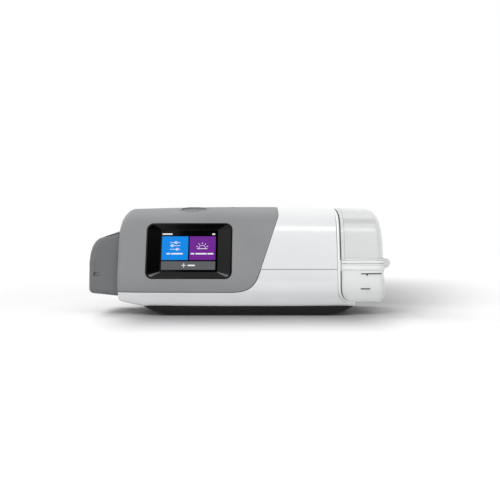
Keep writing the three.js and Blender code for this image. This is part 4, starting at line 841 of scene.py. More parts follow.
def milky(name, colour, alpha, roughness, slot="clear_tub"):
    """Frosted clear plastic, a little denser in places."""
    finish = Finish(name, colour, roughness, slot, ior=1.49)
    cloud = finish.noise(30, 2.0)
    fine = finish.noise(1800, 1.0)
    finish.put("Alpha", alpha + (cloud - 0.5) * 0.06)
    finish.tint(cloud * 0.5, shaded(colour, 0.97))
    finish.put("Roughness", roughness + (fine - 0.5) * 0.08)
    finish.bump(fine, 0.01)
    finish.material.use_transparency_overlap = True
    return finish.material


def lit(name, colour):
    """A lit area of the screen, with the display's fine rows."""
    finish = Finish(name, (8, 8, 9), 0.2, "screen_glass", emission_strength=1.0, specular_ior_level=0.1)
    wave = {"bands_direction": "Z", "wave_profile": "SIN"}
    rows = finish.node("TexWave", wave, Vector=finish.place, Scale=900.0)
    finish.put("Emission Color", finish.mixed(rows * 0.12, linear(colour), linear(shaded(colour, 0.8))))
    return finish.material


GREY = plastic("case grey", (140, 141, 143), 0.56, depth=0.03, specular_ior_level=0.3)
WHITE = plastic(
    "case white", (228, 229, 230), 0.26, share=0.02, depth=0.012, coat_weight=0.7, coat_roughness=0.12
)
BEZEL = plastic("bezel pale", (240, 241, 241), 0.28, share=0.03, depth=0.012)
COVER = plastic(
    "cover dark grey", (109, 110, 111), 0.5, depth=0.035, slot="cover_dark", specular_ior_level=0.35
)
BLACK = plastic("base black", (15, 15, 16), 0.55, share=0.2, depth=0.05, specular_ior_level=0.3)
GLOSS = plastic(
    "gloss black", (5, 5, 6), 0.12, share=0.3, depth=0.002, gloss=0.02, specular_ior_level=0.25
)
GLASS = plastic(
    "screen glass", (4, 5, 6), 0.06, share=0.3, depth=0.001, gloss=0.02, specular_ior_level=0.15
)
INNER = plastic("inner grey", (186, 189, 191), 0.55)
# Black rubber for the feet; the same finish makes the strips of painted shade in the seams and in the gap
# by the tub.
RUBBER_AND_GAP_SHADE = plastic("rubber black", (40, 40, 41), 0.85, share=0.15, grain=900, depth=0.08)
plastic("silicone", (214, 210, 200), 0.6, grain=1200, depth=0.03, coat_weight=0.1)
woven("foam", (58, 59, 61), (22, 22, 24), 900, 0.6)
FILTER = woven("filter white", (240, 240, 236), (214, 214, 208), 2400, 0.12)
STEEL = metal("steel", (190, 192, 196), 0.3)
metal("aluminium", (205, 208, 212), 0.34)
metal("copper", (184, 112, 62), 0.38, (1, 1, 90))
metal("magnet", (84, 84, 90), 0.5, (1, 1, 20))
circuit_board()
TUB = milky("clear tub", (254, 255, 255), 0.56, 0.16)
LID = milky("clear lid", (240, 242, 242), 0.46, 0.16)
CLIP = milky("clear clip", (254, 255, 255), 0.8, 0.2)
BAND = milky("clear band", (254, 255, 255), 0.75, 0.2)
# A dark band under the lid's shoulder: a painted reflection.
LID_SHOULDER_REFLECTION = milky("lid shoulder painted reflection", (140, 142, 144), 0.8, 0.3)
GUIDE = milky("light guide", (136, 137, 139), 0.97, 0.4, "light_guide")
MARK = plastic("mark grey", (52, 53, 54), 0.5, slot="inner_grey")
MARK_PALE = plastic("parting line grey", (236, 238, 237), 0.5, slot="inner_grey")
SYMBOL = plastic("symbol pale", (188, 189, 191), 0.4, slot="case_white")
BLUE = lit("tile blue", (0, 136, 232))
PURPLE = lit("tile purple", (112, 36, 146))
BAR = lit("bar grey", (95, 96, 99))
PALE = lit("icon pale", (238, 240, 243))


# Case housings
def wrap_line(grow, top):
    """The line between the wrap and the white housings, from its low left start to a height."""
    drop = (WRAP_CURVE_END[1] - WRAP_LOW) * WRAP_CURVE_SHARE
    end = (WRAP_CURVE_END[0] + grow, WRAP_CURVE_END[1])
    low = WRAP_LOW - grow
    start = (WRAP_CURVE_START_X, low)
    control = (end[0] - WRAP_SLOPE * drop, end[1] - drop)
    curve = bezier([start, (WRAP_CURVE_CONTROL_X, low), control, end], 18)
    last = (end[0] + WRAP_SLOPE * (top - end[1]), top)
    return np.concatenate([line((CASE_LEFT, low), start), curve, line(end, last)[1:]])


def body_edge(z, shift=0.0):
    """Where the body ends, in the front view, at a height."""
    share = np.sqrt(np.clip((z - TONGUE_HEIGHT) / (BODY_END_LOW - TONGUE_HEIGHT), 0, 1))
    return BODY_END_X + shift + (TONGUE_TIP_X - BODY_END_X) * (1 - share) ** 2


def edge_path(s_values, shift):
    """Chart points of the body's end edge at places round the profile."""
    x = np.full(len(s_values), BODY_END_X + shift)
    for _ in range(12):
        x = 0.5 * x + 0.5 * body_edge(skin(u_of(x), s_values)[:, 2], shift)
    return columns(u_of(x), s_values)


def end_loop(s_from, s_to, u):
    """Points round the profile at one end of the chart."""
    count = max(int(abs(s_to - s_from) / SPACING), 8)
    return columns(u, np.linspace(s_from, s_to, count))


def sheet(loop, holes=()):
    """A sheet on the skin inside a loop on the chart."""
    return Form().patch(fill(loop, holes), lambda chart: skin(*chart.T))


def capped_end(form, end, holes=(), facing=-1):
    """Closes an end of the case with a flat cap, given the chart's points round that end."""
    edge = skin(*end.T)
    outer = columns(facing * edge[:, 1], edge[:, 2])
    closing = line(outer[-1], outer[0])[1:-1]
    chart = fill(np.concatenate([outer, closing]), holes)
    return form.patch(chart, lambda p: columns(edge[0, 0], facing * p[:, 0], p[:, 1]))


def on_front(matrix, outline):
    """Chart points where an outline, pushed along the depth of a leaning frame, meets the front skin."""
    depth = np.zeros(len(outline))
    for _ in range(6):
        points = placed(matrix, across(outline, depth))
        depth += skin(*front_chart(points[:, [0, 2]]).T)[:, 1] - points[:, 1]
    return front_chart(points[:, [0, 2]])


def on_top(middle, radius, sides, lean=1.0):
    return on_chart(circle(radius, sides=sides) * (1, lean) + middle, s_top)


def grey_wrap():
    outline = wrap_line(0, WRAP_TOP[1])
    front, back = front_chart(outline), back_chart(outline)
    right = line(front[-1], back[-1])
    left = end_loop(back[0, 1], front[0, 1], LEFT_U)
    loop = np.concatenate([front, right[1:-1], back[::-1], left[1:-1]])
    holes = [
        on_front(SCREEN, rounded_loop(*np.add(SCREEN_SIZE, HOLE_PLAY), SCREEN_CORNER)),
        on_top(BUTTON_PLACE, BUTTON_HOLE_RADIUS, 72, math.cos(BUTTON_TILT)),
        on_top(SENSOR_PLACE, SENSOR_HOLE_RADIUS, 20),
        back_chart(rounded_loop(*np.add(PANEL_SIZE, HOLE_PLAY), 1.2, PANEL_MIDDLE)),
        back_chart(circle(OUTLET_HOLE_RADIUS, OUTLET_MIDDLE, 72)),
    ]
    form = capped_end(sheet(loop, holes), left[::-1], [rounded_loop(60.6, 40.6, 0.8, (6, 42))])
    grown("grey_wrap", "grey_wrap_shell", form, GREY)


def white_upper():
    seam = SEAM_HEIGHT + SEAM
    outline = wrap_line(SEAM, WRAP_TOP[1])
    corner = (WRAP_CURVE_END[0] + SEAM + WRAP_SLOPE * (seam - WRAP_CURVE_END[1]), seam)
    edge = np.vstack([corner, outline[outline[:, 1] > seam + 0.4]])
    low = line(corner, (BODY_END_X, seam))
    front_low, front_edge = front_chart(low), front_chart(edge)
    back_low, back_edge = back_chart(low), back_chart(edge)
    right = line(front_low[-1], back_low[-1])
    over = line(back_edge[-1], front_edge[-1])
    sides = [front_low, right[1:-1], back_low[::-1], back_edge[1:], over[1:-1], front_edge[::-1][:-1]]
    grown("white_upper_shell", "white_upper_housing", sheet(np.concatenate(sides)), WHITE)


def white_lower():
    slope = wrap_line(SEAM, SEAM_HEIGHT)
    outline = np.concatenate([slope, line(slope[-1], (BODY_END_X, SEAM_HEIGHT))[1:]])
    back = back_chart(outline)
    front = front_chart(outline) + (0, AROUND)
    right = spread(edge_path(np.linspace(back[-1, 1], front[-1, 1], 400), 0.0))
    left = end_loop(front[0, 1], back[0, 1], LEFT_U)
    form = sheet(np.concatenate([back, right[1:-1], front[::-1], left[1:-1]]))
    grown("white_lower_shell", "white_lower_housing", capped_end(form, left[::-1]), WHITE)


def strip(node, name, path, material, width, depth, thickness):
    """A thin strip that follows a path on the chart, at a depth under the skin."""
    path = spread(path)
    side = left_of(heading(path)) * width / 2
    edges = [(1, depth), (-1, depth), (-1, depth + thickness), (1, depth + thickness)]
    form = Form().lengthwise([lifted(path + side * way, -down) for way, down in edges])
    solid(node, name, form, material)


def seam_shade_strips():
    """Dark strips that fill the seams and paint the shade in them, so that each seam reads as a fine
    line.
    """
    outline = wrap_line(SEAM / 2, WRAP_TOP[1])
    front, back = front_chart(outline), back_chart(outline)
    path = np.concatenate([front, line(front[-1], back[-1])[1:-1], back[::-1]])
    strip("grey_wrap", "seam_shade_round_wrap", path, RUBBER_AND_GAP_SHADE, width=0.3, depth=0.3, thickness=1.5)
    height = SEAM_HEIGHT + SEAM / 2
    along = line((SEAM_START_X, height), (BODY_END_X - SEAM, height))
    # The strips in the lower seam and along the wrap's lower edge are painted shade as well.
    for side, chart in (("front", front_chart), ("back", back_chart)):
        name, path = f"seam_{side}", chart(along)
        strip("white_lower_shell", name, path, RUBBER_AND_GAP_SHADE, width=0.55, depth=0.08, thickness=1.5)
        name, path = f"seam_shade_under_wrap_{side}", chart(wrap_line(SEAM / 2, SEAM_HEIGHT))
        strip("grey_wrap", name, path, RUBBER_AND_GAP_SHADE, width=0.6, depth=-0.03, thickness=1.6)


def tub_gap_shades():
    """Dark strips that paint the shade in the gap between the body's rim and the tub: dark, but pale and
    clear along the tub's band.
    """
    places = PLACES[::2]
    path = edge_path(places, BEZEL_WIDTH + TUB_GAP / 2)
    heights = skin(*path.T)[:, 2]
    band_low, band_high = BASE_FLANGE_LOW - 0.4, LID_FLANGE_TOP + 0.3
    for name, low, high, material in [
        ("low", 13, band_low, RUBBER_AND_GAP_SHADE),
        ("middle", band_low, band_high, BAND),
        ("high", band_high, 200, RUBBER_AND_GAP_SHADE),
    ]:
        kept = (heights > low) & (heights < high)
        starts = np.flatnonzero(np.diff(kept.astype(int)) != 0) + 1
        for i, run in enumerate(np.split(np.arange(len(places)), starts)):
            if kept[run[0]] and len(run) > 6:
                # Each dark run is painted shade in the gap by the tub.
                gap_shade_name = f"tub_gap_shade_{name}_{i}"
                strip("tub_base", gap_shade_name, path[run], material, width=0.6, depth=0.6, thickness=1.2)


def bar_section(near, far, depth, radius):
    """A bar's section as (across, depth), with its two outer edges rounded."""
    turns = quarter_round(radius, 7)
    first = [(near + x, y) for x, y in turns]
    second = [(far - y, x) for x, y in turns]
    return [(near, depth), *first, *second, (far, depth)]


def end_bezel():
    """The pale rim at the body's end, with rounded outer edges. It is shallow along the bottom."""
    s = PLACES[::3]
    start = x_of(edge_path(s, 0.0)[:, 0])
    deep = np.interp(profile_at(s)[1], [8.05, 10, 14], [2.3, 2.5, BEZEL_DEPTH])
    edges = []
    for along, depth in bar_section(SEAM, BEZEL_WIDTH, BEZEL_DEPTH, BEZEL_ROUND):
        under = deep if depth == BEZEL_DEPTH else depth
        edges.append(lifted(columns(u_of(start + along), s), -under))
    solid("end_bezel", "end_rim", Form().lengthwise(edges, closed=True), BEZEL)


# Water tub
def tub_start(z, shift=0.0):
    """Where the tub starts at a height, beyond the body's rim and the gap."""
    return float(body_edge(z, BEZEL_WIDTH + TUB_GAP + shift))


def tub_side(z, offset, start):
    """The tub's outline from above at a height, from its front start round the end to its back start."""
    u = np.linspace(float(u_of(start)), RIGHT_U, SIDE_POINTS)
    x = x_of(u)
    front = skin(u, s_front(x, z))[:, :2]
    back = skin(u, s_back(x, z))[::-1, :2]
    end_y = np.linspace(front[-1, 1], back[0, 1], END_POINTS + 2)[1:-1]
    path = np.concatenate([front, columns(TUB_RIGHT, end_y), back])
    return upright(path - left_of(heading(path)) * offset, z)


def tub_band(node, name, low, high, offset, material, reach=None):
    """A dense band along the tub, where its clear wall is thick."""
    inner, start = offset - BAND_DEPTH, tub_start(low, BAND_START)
    corners = [(low, offset), (high, offset), (high, inner), (low, inner)]
    edges = [tub_side(z, out, start)[:reach] for z, out in corners]
    solid(node, name, Form().lengthwise(edges), material)


def front_mark(name, first, last, height):
    """A fine moulded line on the front of the tub."""
    path = line((first, height), (last, height), 1.2)
    section = [(-0.5, -0.3), (-0.5, 0.048), (-0.3, 0.12), (0.3, 0.12), (0.5, 0.048), (0.5, -0.3)]
    edges = [lifted(front_chart(path + (0, rise)), up) for rise, up in section]
    solid("tub_base", name, Form().lengthwise(edges), MARK)


def tub_base():
    low, rim = BASE_FLANGE_LOW, TUB_RIM
    levels = [(TUB_BOTTOM + rise, -inset) for rise, inset in quarter_round(TUB_ROUND, 7)]
    levels += [(z, 0.0) for z in np.arange(16.0, low - 0.3, 2.0)]
    levels += [(low - 0.25, 0.0), (low + 0.05, 0.35), (low + 0.4, 0.7), (low + 1.0, FLANGE)]
    levels += [(rim - 0.9, FLANGE), (rim - 0.3, 0.6), (rim, 0.2)]
    outer = Form().rings([tub_side(z, offset, tub_start(z, -min(offset, 0))) for z, offset in levels])
    bowl = solid("tub_base", "tub_bowl", outer, TUB)
    width, depth = BLOCK_SIZE
    block = [
        upright(rounded(width - 2 * inset, depth - 2 * inset, BLOCK_CORNER, BLOCK_MIDDLE), z)
        for z, inset in [(16.3, 1.4), (16.7, 0.5), (17.7, 0.0), (rim, 0.0)]
    ]
    combined(bowl, Form().rings(block), "UNION")
    inner = [TUB_BOTTOM + TUB_WALL, *np.arange(16.0, CUT_TOP, 2.5)]
    combined(bowl, Form().rings([tub_side(z, -TUB_WALL, tub_start(z, TUB_WALL)) for z in inner]))
    middle = (BLOCK_MIDDLE[0] + TUB_WALL, BLOCK_MIDDLE[1])
    hollow = rounded(width, depth - 2 * TUB_WALL, BLOCK_CORNER - TUB_WALL, middle)
    combined(bowl, Form().prism(hollow, 18.1, CUT_TOP))
    combined(bowl, Form().prism(rounded(*PLATE_WINDOW), 10, 25))
    applied(bevelled(bowl, 0.3, 2, 45))

    tub_band("tub_base", "tub_rim_band", 39.4, 41.9, FLANGE + 0.15, BAND)
    tub_band("tub_base", "tub_parting_line", 42.5, 43.38, FLANGE - 0.2, BAND)
    # The foot band is denser wall along the rounded bottom edge, and also a painted highlight along that
    # edge.
    tub_band("tub_base", "tub_foot_highlight", 12.3, 13.7, -0.35, BAND, SIDE_POINTS)

    ear = arc(HINGE_RADIUS, -90, 190.5, 34, HINGE)
    ear = np.vstack([ear, (HINGE_FOOT_X, rim), (HINGE_FOOT_X, HINGE[1] - HINGE_RADIUS)])
    steps = [(1.5, 0.7), (1.2, 0.1), (0.5, 0.0), (0.15, 0.15), (0, 0.5)]
    for i, front in enumerate((-32, 19)):
        solid("tub_base", f"hinge_ear_{i + 1}", plate(ear, front, front + 3, steps, across), CLIP)
    rod = Form().lathe(pin(ROD_RADIUS, -30.5, 20.5), 32, (HINGE[0], 0, HINGE[1]), "Y")
    solid("tub_base", "hinge_bar", rod, CLIP)

    front_mark("fill_line_1", 99, 116.4, 35.4)
    front_mark("fill_line_2", 98.6, 106.7, 22.9)
    tip = front_chart([(104, 33.4), (105.1, 34.9), (102.9, 34.9)])
    solid("tub_base", "fill_mark", Form().rings([lifted(tip, -0.3), lifted(tip, 0.12)]), MARK)


def grip_depth(x, y):
    """How far the grip in the lid's top is sunk at a place."""
    share = ((x - GRIP_MIDDLE[0]) / GRIP_REACH[0]) ** 2 + ((y - GRIP_MIDDLE[1]) / GRIP_REACH[1]) ** 2
    return np.maximum(4 * np.sqrt(np.clip(1 - share, 0, 1)) - 2.6, 0)


def tub_lid():
    u = np.linspace(float(u_of(LID_START)), RIGHT_U, 60)
    front, back = [spread(columns(u, side(x_of(u), LID_BOTTOM))) for side in (s_front, s_back)]
    right = end_loop(front[-1, 1], back[-1, 1], RIGHT_U)
    loop = np.concatenate([front, right[1:-1], back[::-1], line(back[0], front[0])[1:-1]])
    rim = [
        on_chart(circle(1, sides=80) * np.array(GRIP_REACH) * share + GRIP_MIDDLE, s_top)
        for share in (0.72, 0.76, 0.8)
    ]

    def dome(chart):
        surface = skin(*chart.T)
        return lifted(chart, -np.where(surface[:, 2] > LID_ROOF, grip_depth(*surface.T[:2]), 0))

    form = capped_end(Form().patch(fill(loop, step=1.7, lines=rim), dome), right, facing=1)
    lid = grown("tub_lid", "lid_dome", form, LID, TUB_WALL, 0.3)
    band = bar_section(0, LID_FLANGE_TOP - LID_BOTTOM, 1.6, 0.55)
    edges = [tub_side(LID_BOTTOM + rise, FLANGE - depth, LID_START) for rise, depth in band]
    combined(lid, Form().lengthwise(edges), "UNION")

    tub_band("tub_lid", "lid_rim_band", 44.4, 46.2, FLANGE + 0.1, BAND)
    tub_band("tub_lid", "lid_rim_line", 47.1, 47.5, FLANGE - 0.05, MARK_PALE)

    # A dark strip under the lid's curved shoulder paints the darker reflection band where the dome turns
    # over.
    x = np.linspace(LID_START + 0.6, 115, 20)
    path = columns(u_of(x), s_front(x, 81.6))
    depth = TUB_WALL + 0.1
    strip("tub_lid", "lid_shoulder_reflection", path, LID_SHOULDER_REFLECTION, width=6.4, depth=depth, thickness=0.8)

    clip = np.vstack([
        arc(HINGE_RADIUS, -70.1, 146.9, 26, HINGE),
        (HINGE_FOOT_X, 46.1),
        (HINGE_FOOT_X, LID_BOTTOM),
        arc(HINGE_RADIUS, 182.6, 249.9, 9, HINGE),
        arc(ROD_RADIUS + 0.3, 224.4, -44.4, 24, HINGE),
    ])
    for i, front in enumerate((-28.6, 4.6)):
        form = plate(clip, front, front + 14, place=across)
        solid("tub_lid", f"lid_clip_{i + 1}", form, CLIP)


# Filter cover
def cover_form(inset, open_x):
    left = COVER_LEFT + inset
    low, top = 18.2 + inset, 65.4 - inset
    outline = np.concatenate([
        [(open_x, COVER_LOW + inset), (left + 5, low)],
        bezier([(left + 5, low), (left, low), (left, low + 5)], 9),
        bezier([(left, 42), (left, 56), (-126.5, top - 2.5), (-121.5, top)], 18),
        [(open_x, COVER_HIGH - inset)],
    ])[::-1]
    length, half_height = COVER_WALL_X - COVER_LEFT, COVER_HIGH - COVER_MIDDLE_Z

    def ring(y, edge, lean=0.0):
        x = COVER_WALL_X + (outline[:, 0] - COVER_WALL_X) * (1 - edge / length)
        z = COVER_MIDDLE_Z + (outline[:, 1] - COVER_MIDDLE_Z) * (1 - edge / half_height)
        return columns(x, y + np.maximum(z - 42, 0) * lean, z)

    turns = quarter_round(COVER_ROUND - inset, 9)
    lean = math.tan(FACE_TILT)
    rings = [ring(COVER_FRONT + inset + come, shrink, lean) for shrink, come in turns[::-1]]
    rings += [ring(COVER_BACK - inset - come, shrink) for shrink, come in turns]
    return Form().rings(rings)


def knuckle(first, last, count, *feet):
    """The outline of a hinge knuckle from above: a round end and its web."""
    return np.vstack([arc(KNUCKLE_RADIUS, first, last, count, KNUCKLE_MIDDLE), *feet])


def knuckle_bore():
    return Form().lathe(drum(1.4, 20, 64), 24, (*KNUCKLE_MIDDLE, 0))


def filter_cover():
    cover = solid("filter_cover", "filter_cover_shell", cover_form(0, COVER_WALL_X), COVER)
    combined(cover, cover_form(COVER_WALL, COVER_WALL_X + 4))
    notch = rounded(6, 3.4, 0.9, NOTCH_MIDDLE)
    gap = np.array([(-116.5, 66.0), (-104.9, 69.3), (-104.9, 70.0), (-116.8, 66.7)])
    for loop, depth in ((notch, -48), (gap, -41)):
        combined(cover, Form().prism(loop, -57, depth, across))
    slots = Form()
    for i in range(7):
        slot = rounded(2.2, 16, 1.05, (-0.9 + 5.2 * i, 34))
        slots.prism(slot, -133.7, -125.9, endways)
    combined(cover, slots)
    outline = knuckle(-60, 180, 26, (-110, 40.2), (-106.4, 40.2))
    for low in (32.3, 43.7):
        combined(cover, plate(outline, low, low + KNUCKLE_HEIGHT), "UNION")
    combined(cover, knuckle_bore())
    applied(bevelled(cover, 0.35, 3, 42))
    catch = plate(rounded(8.4, 5.8, 1, NOTCH_MIDDLE), -51.1, -50.3, eased(0.2), across)
    solid("filter_cover", "cover_catch", catch, COVER)

    rod = Form().lathe(pin(1.1, 24, 60), 24, (*KNUCKLE_MIDDLE, 0))
    solid("filter_hinge_pin", "cover_hinge_rod", rod, STEEL)
    outline = knuckle(12, 303.6, 30, (-103.1, 43), (-103.1, 45.5))
    for i, low in enumerate((24, 52)):
        form = plate(outline, low, low + KNUCKLE_HEIGHT)
        combined(solid("grey_wrap", f"case_knuckle_{i + 1}", form, GREY), knuckle_bore())


def air_filter():
    """The pleated filter pad in its frame."""
    pleats, half = 17, 0.6
    y = np.linspace(-31.8, 19.8, pleats * 2 + 1)
    x = np.where(np.arange(len(y)) % 2 == 0, -105.4, -110.2)
    pad = np.concatenate([columns(x - half, y), columns(x + half, y)[::-1]])
    solid("air_filter", "filter_pleats", Form().prism(pad, 26, 58), FILTER, angle=20)
    outer, inner = -111.6, -104.6
    loops = [
        endways(rounded(54 - 2 * inset, 34 - 2 * inset, 2.2 - inset, (-6, 42)), x)
        for inset, x in [
            (0, outer + 0.3), (0.3, outer), (1.4, outer), (1.7, outer + 0.3),
            (1.7, inner - 0.3), (1.4, inner), (0.3, inner), (0, inner - 0.3),
        ]
    ]
    solid("air_filter", "filter_frame", Form().rings(loops, closed=True), FILTER)


# Base
def base_tray():
    """The black tray. Its ends slope in, most at the foot, and its sides curve in a little."""
    rings = []
    for rise in (TRAY_LOW, 0.95, 1.4, 2.0, 2.8, 3.8, 5.0, 6.3, 7.4, TRAY_HIGH):
        share = 1 - (rise - TRAY_LOW) / (TRAY_HIGH - TRAY_LOW)
        extra = {TRAY_LOW: 0.7, 0.95: 0.25, TRAY_HIGH: 0.3}.get(rise, 0)
        end, side = 12.5 * share + 5 * share**8 + extra, 3 * share**2 + extra
        size = (TRAY_SIZE[0] - 2 * end, TRAY_SIZE[1] - 2 * side)
        rings.append(upright(rounded(*size, TRAY_CORNER - side, TRAY_MIDDLE, 14), rise))
    tray = solid("base_tray", "base_hull", Form().rings(rings), BLACK)
    pockets = Form()
    for place in FEET:
        pockets.lathe(drum(6.8, -2, 1.8), 48, (*place, 0))
    for place in SCREWS:
        pockets.lathe(drum(3.4, -2, 4.6, 3.1), 32, (*place, 0))
    pockets.prism(rounded(60, 34, 2, (6, -4)), -2, 1.2)
    combined(tray, pockets)
    applied(bevelled(tray, 0.25, 2, 50))


def feet_and_screws():
    foot = [(0, 0.15), (2.4, 0.15), (2.7, 0), (5.7, 0), (6.3, 0.2), (6.5, 0.6), (6.5, 1.5), (0, 1.5)]
    for number, place in enumerate(FEET, 1):
        form = Form().lathe(foot, 48, (*place, 0))
        solid(f"foot_{number}", f"rubber_foot_{number}", form, RUBBER_AND_GAP_SHADE)
    turns = np.linspace(0, 2 * math.pi, 24, endpoint=False)
    sixth = math.pi / 3
    flats = np.cos((turns + sixth / 2) % sixth - sixth / 2)
    hexagon = circle(1, sides=24) * (1.35 / flats)[:, None]
    shank_and_head = [(1.5, 18.9), (1.5, 4.4), (2.6, 4.4), (2.8, 4.2), (2.8, 3.2), (2.5, 2.8)]
    for number, place in enumerate(SCREWS, 1):
        levels = [(circle(radius, place, 24), z) for radius, z in shank_and_head]
        levels += [(hexagon + place, 2.8), (hexagon + place, 3.9)]
        form = Form().rings([upright(loop, z) for loop, z in levels])
        solid(f"case_screw_{number}", f"socket_screw_{number}", form, STEEL)


# Screen
def screen():
    levels = [
        (71.6, 47.6, 6, 0.5), (71.5, 47.5, 5.95, 0.2), (71.2, 47.2, 5.8, 0.04), (70.8, 46.8, 5.6, 0.0),
        (69.6, 45.6, 5.0, 0.0), (69.3, 45.3, 4.9, 0.03), (48.4, 36.4, 0.9, 1.17), (48, 36, 0.8, 1.25),
        (48, 36, 0.8, 1.45), (52.8, 40.8, 1.0, 1.45), (52.8, 40.8, 1.0, 6.3), (71.6, 47.6, 6, 6.3),
    ]
    rings = [across(rounded(width, height, radius), depth) for width, height, radius, depth in levels]
    solid("screen_frame", "screen_surround", shifted(Form().rings(rings, closed=True), SCREEN), GLOSS)
    glass = plate(rounded(52, 40, 1.0), 1.5, 2.7, eased(0.1), across)
    solid("touch_glass", "screen_glass_pane", shifted(glass, SCREEN), GLASS)


def picture():
    """The lit picture: two tiles and a bar, with plain symbols and bars in place of words."""
    tile_depth, icon_depth, thickness = 1.44, 1.38, 0.05
    scale, shift = (0.996, 0.99), (-0.5, 0.35)
    sun = (11.4, 1.8)

    def shape(name, loop, material, near=icon_depth):
        form = Form().prism(loop * scale + shift, near, near + thickness, across)
        solid(None, name, shifted(form, SCREEN), material)

    def bar(name, left, right, low, high, material=PALE, near=icon_depth):
        width, height = right - left, high - low
        radius = min(0.25, width / 2 - 0.01, height / 2 - 0.01)
        middle = ((left + right) / 2, (low + high) / 2)
        shape(name, rounded(width, height, radius, middle, 4), material, near)

    bar("tile_blue", -22.6, -0.4, -8.1, 12.4, BLUE, tile_depth)
    bar("tile_purple", 0.7, 22.6, -8.1, 12.4, PURPLE, tile_depth)
    bar("bar_grey", -22.6, 22.6, -16.5, -9.3, BAR, tile_depth)
    for i, (height, knob) in enumerate([(6.95, -10.7), (4.3, -13.8), (1.2, -9.6)], 1):
        bar(f"slider_line_{i}", -15.7, -7.1, height - 0.2, height + 0.2)
        shape(f"slider_knob_{i}", circle(1.15, (knob, height), 24), PALE)
        shape(f"slider_eye_{i}", circle(0.5, (knob, height), 16), BLUE, icon_depth - 0.04)
    bow = np.concatenate([arc(3.0, 0, 180, 25, sun), arc(2.65, 180, 0, 25, sun)])
    shape("sun_bow", bow, PALE)
    bar("sun_line", 7.0, 15.8, 1.45, 1.95)
    ray = rounded(1.3, 0.5, 0.2, (4.7, 0), 4)
    for i, degrees in enumerate((22, 56, 90, 124, 158), 1):
        cos, sin = math.cos(math.radians(degrees)), math.sin(math.radians(degrees))
        shape(f"sun_ray_{i}", ray @ np.array([(cos, sin), (-sin, cos)]) + sun, PALE)
    bar("plus_across", -5.7, -1.8, -13.0, -12.5)
    bar("plus_up", -4.0, -3.5, -14.7, -10.8)
    words = [
        (-18.4, -15.4, -2.7), (-14.5, -4.8, -2.7), (1.9, 4.9, -2.7), (5.9, 15.2, -2.7),
        (15.9, 20.9, -2.7), (-0.4, 5.6, -12.8), (-22.4, -14.0, 14.4), (19.6, 22.1, 14.3),
    ]
    for i, (left, right, height) in enumerate(words, 1):
        bar(f"word_bar_{i}", left, right, height - 0.6, height + 0.6)


# Button, sensor, back panel and outlet
def start_button():
    reach, depth, edge = 10.2, 1.2, -1.1

    def dish(radius):
        """The height of the cap's hollow top."""
        return edge - depth * (1 - (radius / reach) ** 2)

    cap = [(0, -7.5), (1.7, -7.5), (2, -7.2), (2, -4.8), (2.3, -4.5), (10.8, -4.5), (11.2, -4.1)]
    cap += [(11.2, -1.8), (11.05, -1.4), (10.7, -1.15), (reach, edge)]
    cap += [(r, dish(r)) for r in np.linspace(9.8, 0, 16)]
    solid("start_button", "button_cap", shifted(Form().lathe(cap, 72), BUTTON), COVER)

    gap = 34
    section = [(3.4, -0.2), (3.4, 0.1), (3.55, 0.16), (4.05, 0.16), (4.2, 0.1), (4.2, -0.2)]
    edges = [upright(arc(r, 90 + gap, 450 - gap, 44, (0, 0)), dish(r) + rise) for r, rise in section]
    mark = Form().lengthwise(edges)
    stroke = rounded(0.8, 3.6, 0.38, (0, 3.6), 4)
    mark.prism(stroke, dish(3.8) - 0.4, dish(3.8) + 0.26)
    solid("start_button", "standby_symbol", shifted(mark, BUTTON), SYMBOL)

    ring = [(11.5, -3), (13.2, -3), (13.2, -0.25), (13.0, -0.03), (12, 0), (11.65, -0.2), (11.5, -0.5)]
    form = Form().lathe([*ring, ring[0]], 72)
    solid("light_ring", "button_light_ring", shifted(form, BUTTON), GUIDE)


def sensor_window():
    profile = [(0, -3.2), (1.6, -3.2), (1.6, -0.2), (1.45, -0.04), (1.2, 0), (0.9, -0.25), (0, -0.35)]
    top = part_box("sensor_window")[1].z / MM
    solid("sensor_window", "sensor_lens", Form().lathe(profile, 32, (*SENSOR_PLACE, top)), GLOSS)


def rear_panel():
    holes = [
        back_chart(rounded_loop(*INLET_SIZE, 0.6, INLET_MIDDLE)),
        back_chart(rounded_loop(*CARD_SIZE, 0.5, CARD_MIDDLE)),
    ]
    chart = fill(back_chart(rounded_loop(*PANEL_SIZE, 0.8, PANEL_MIDDLE)), holes, step=1.4)
    form = Form().patch(chart, lambda places: lifted(places, -0.5))
    grown("rear_panel", "rear_plate", form, BLACK, bevel=0.3)


def outlet():
    low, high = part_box("air_outlet_port")
    inner, flange, end = low.y / MM, 57.5, high.y / MM
    profile = [
        (9, inner), (10.6, inner), (11, inner + 0.4), (11, flange - 2),
        (13.6, flange - 2), (14, flange - 1.6), (14, flange - 0.4), (13.6, flange), (11.1, flange),
        (11, end - 6), (10.9, end - 0.8), (10.5, end - 0.15), (10.1, end),
        (9.5, end), (9.1, end - 0.4), (9, end - 1), (9, inner),
    ]
    port = Form().lathe(profile, 72, (OUTLET_MIDDLE[0], 0, OUTLET_MIDDLE[1]), "Y")
    solid("air_outlet_port", "outlet_tube", port, INNER)


def inner_parts():
    """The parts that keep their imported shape, with eased edges and their own finishes."""
    finishes = {slot: material for material, slot in reversed(SLOTS.items())}
    shown = {part["node"]: part["material_slot"] for part in frame["record"]["subparts"]}
    for name, node in frame["nodes"].items():
        node.data.materials.clear()
        node.data.materials.append(finishes[shown[name]])
        node.modifiers.new("weld", "WELD").merge_threshold = 0.00001
        bevelled(node, 0.25, 2, 42)


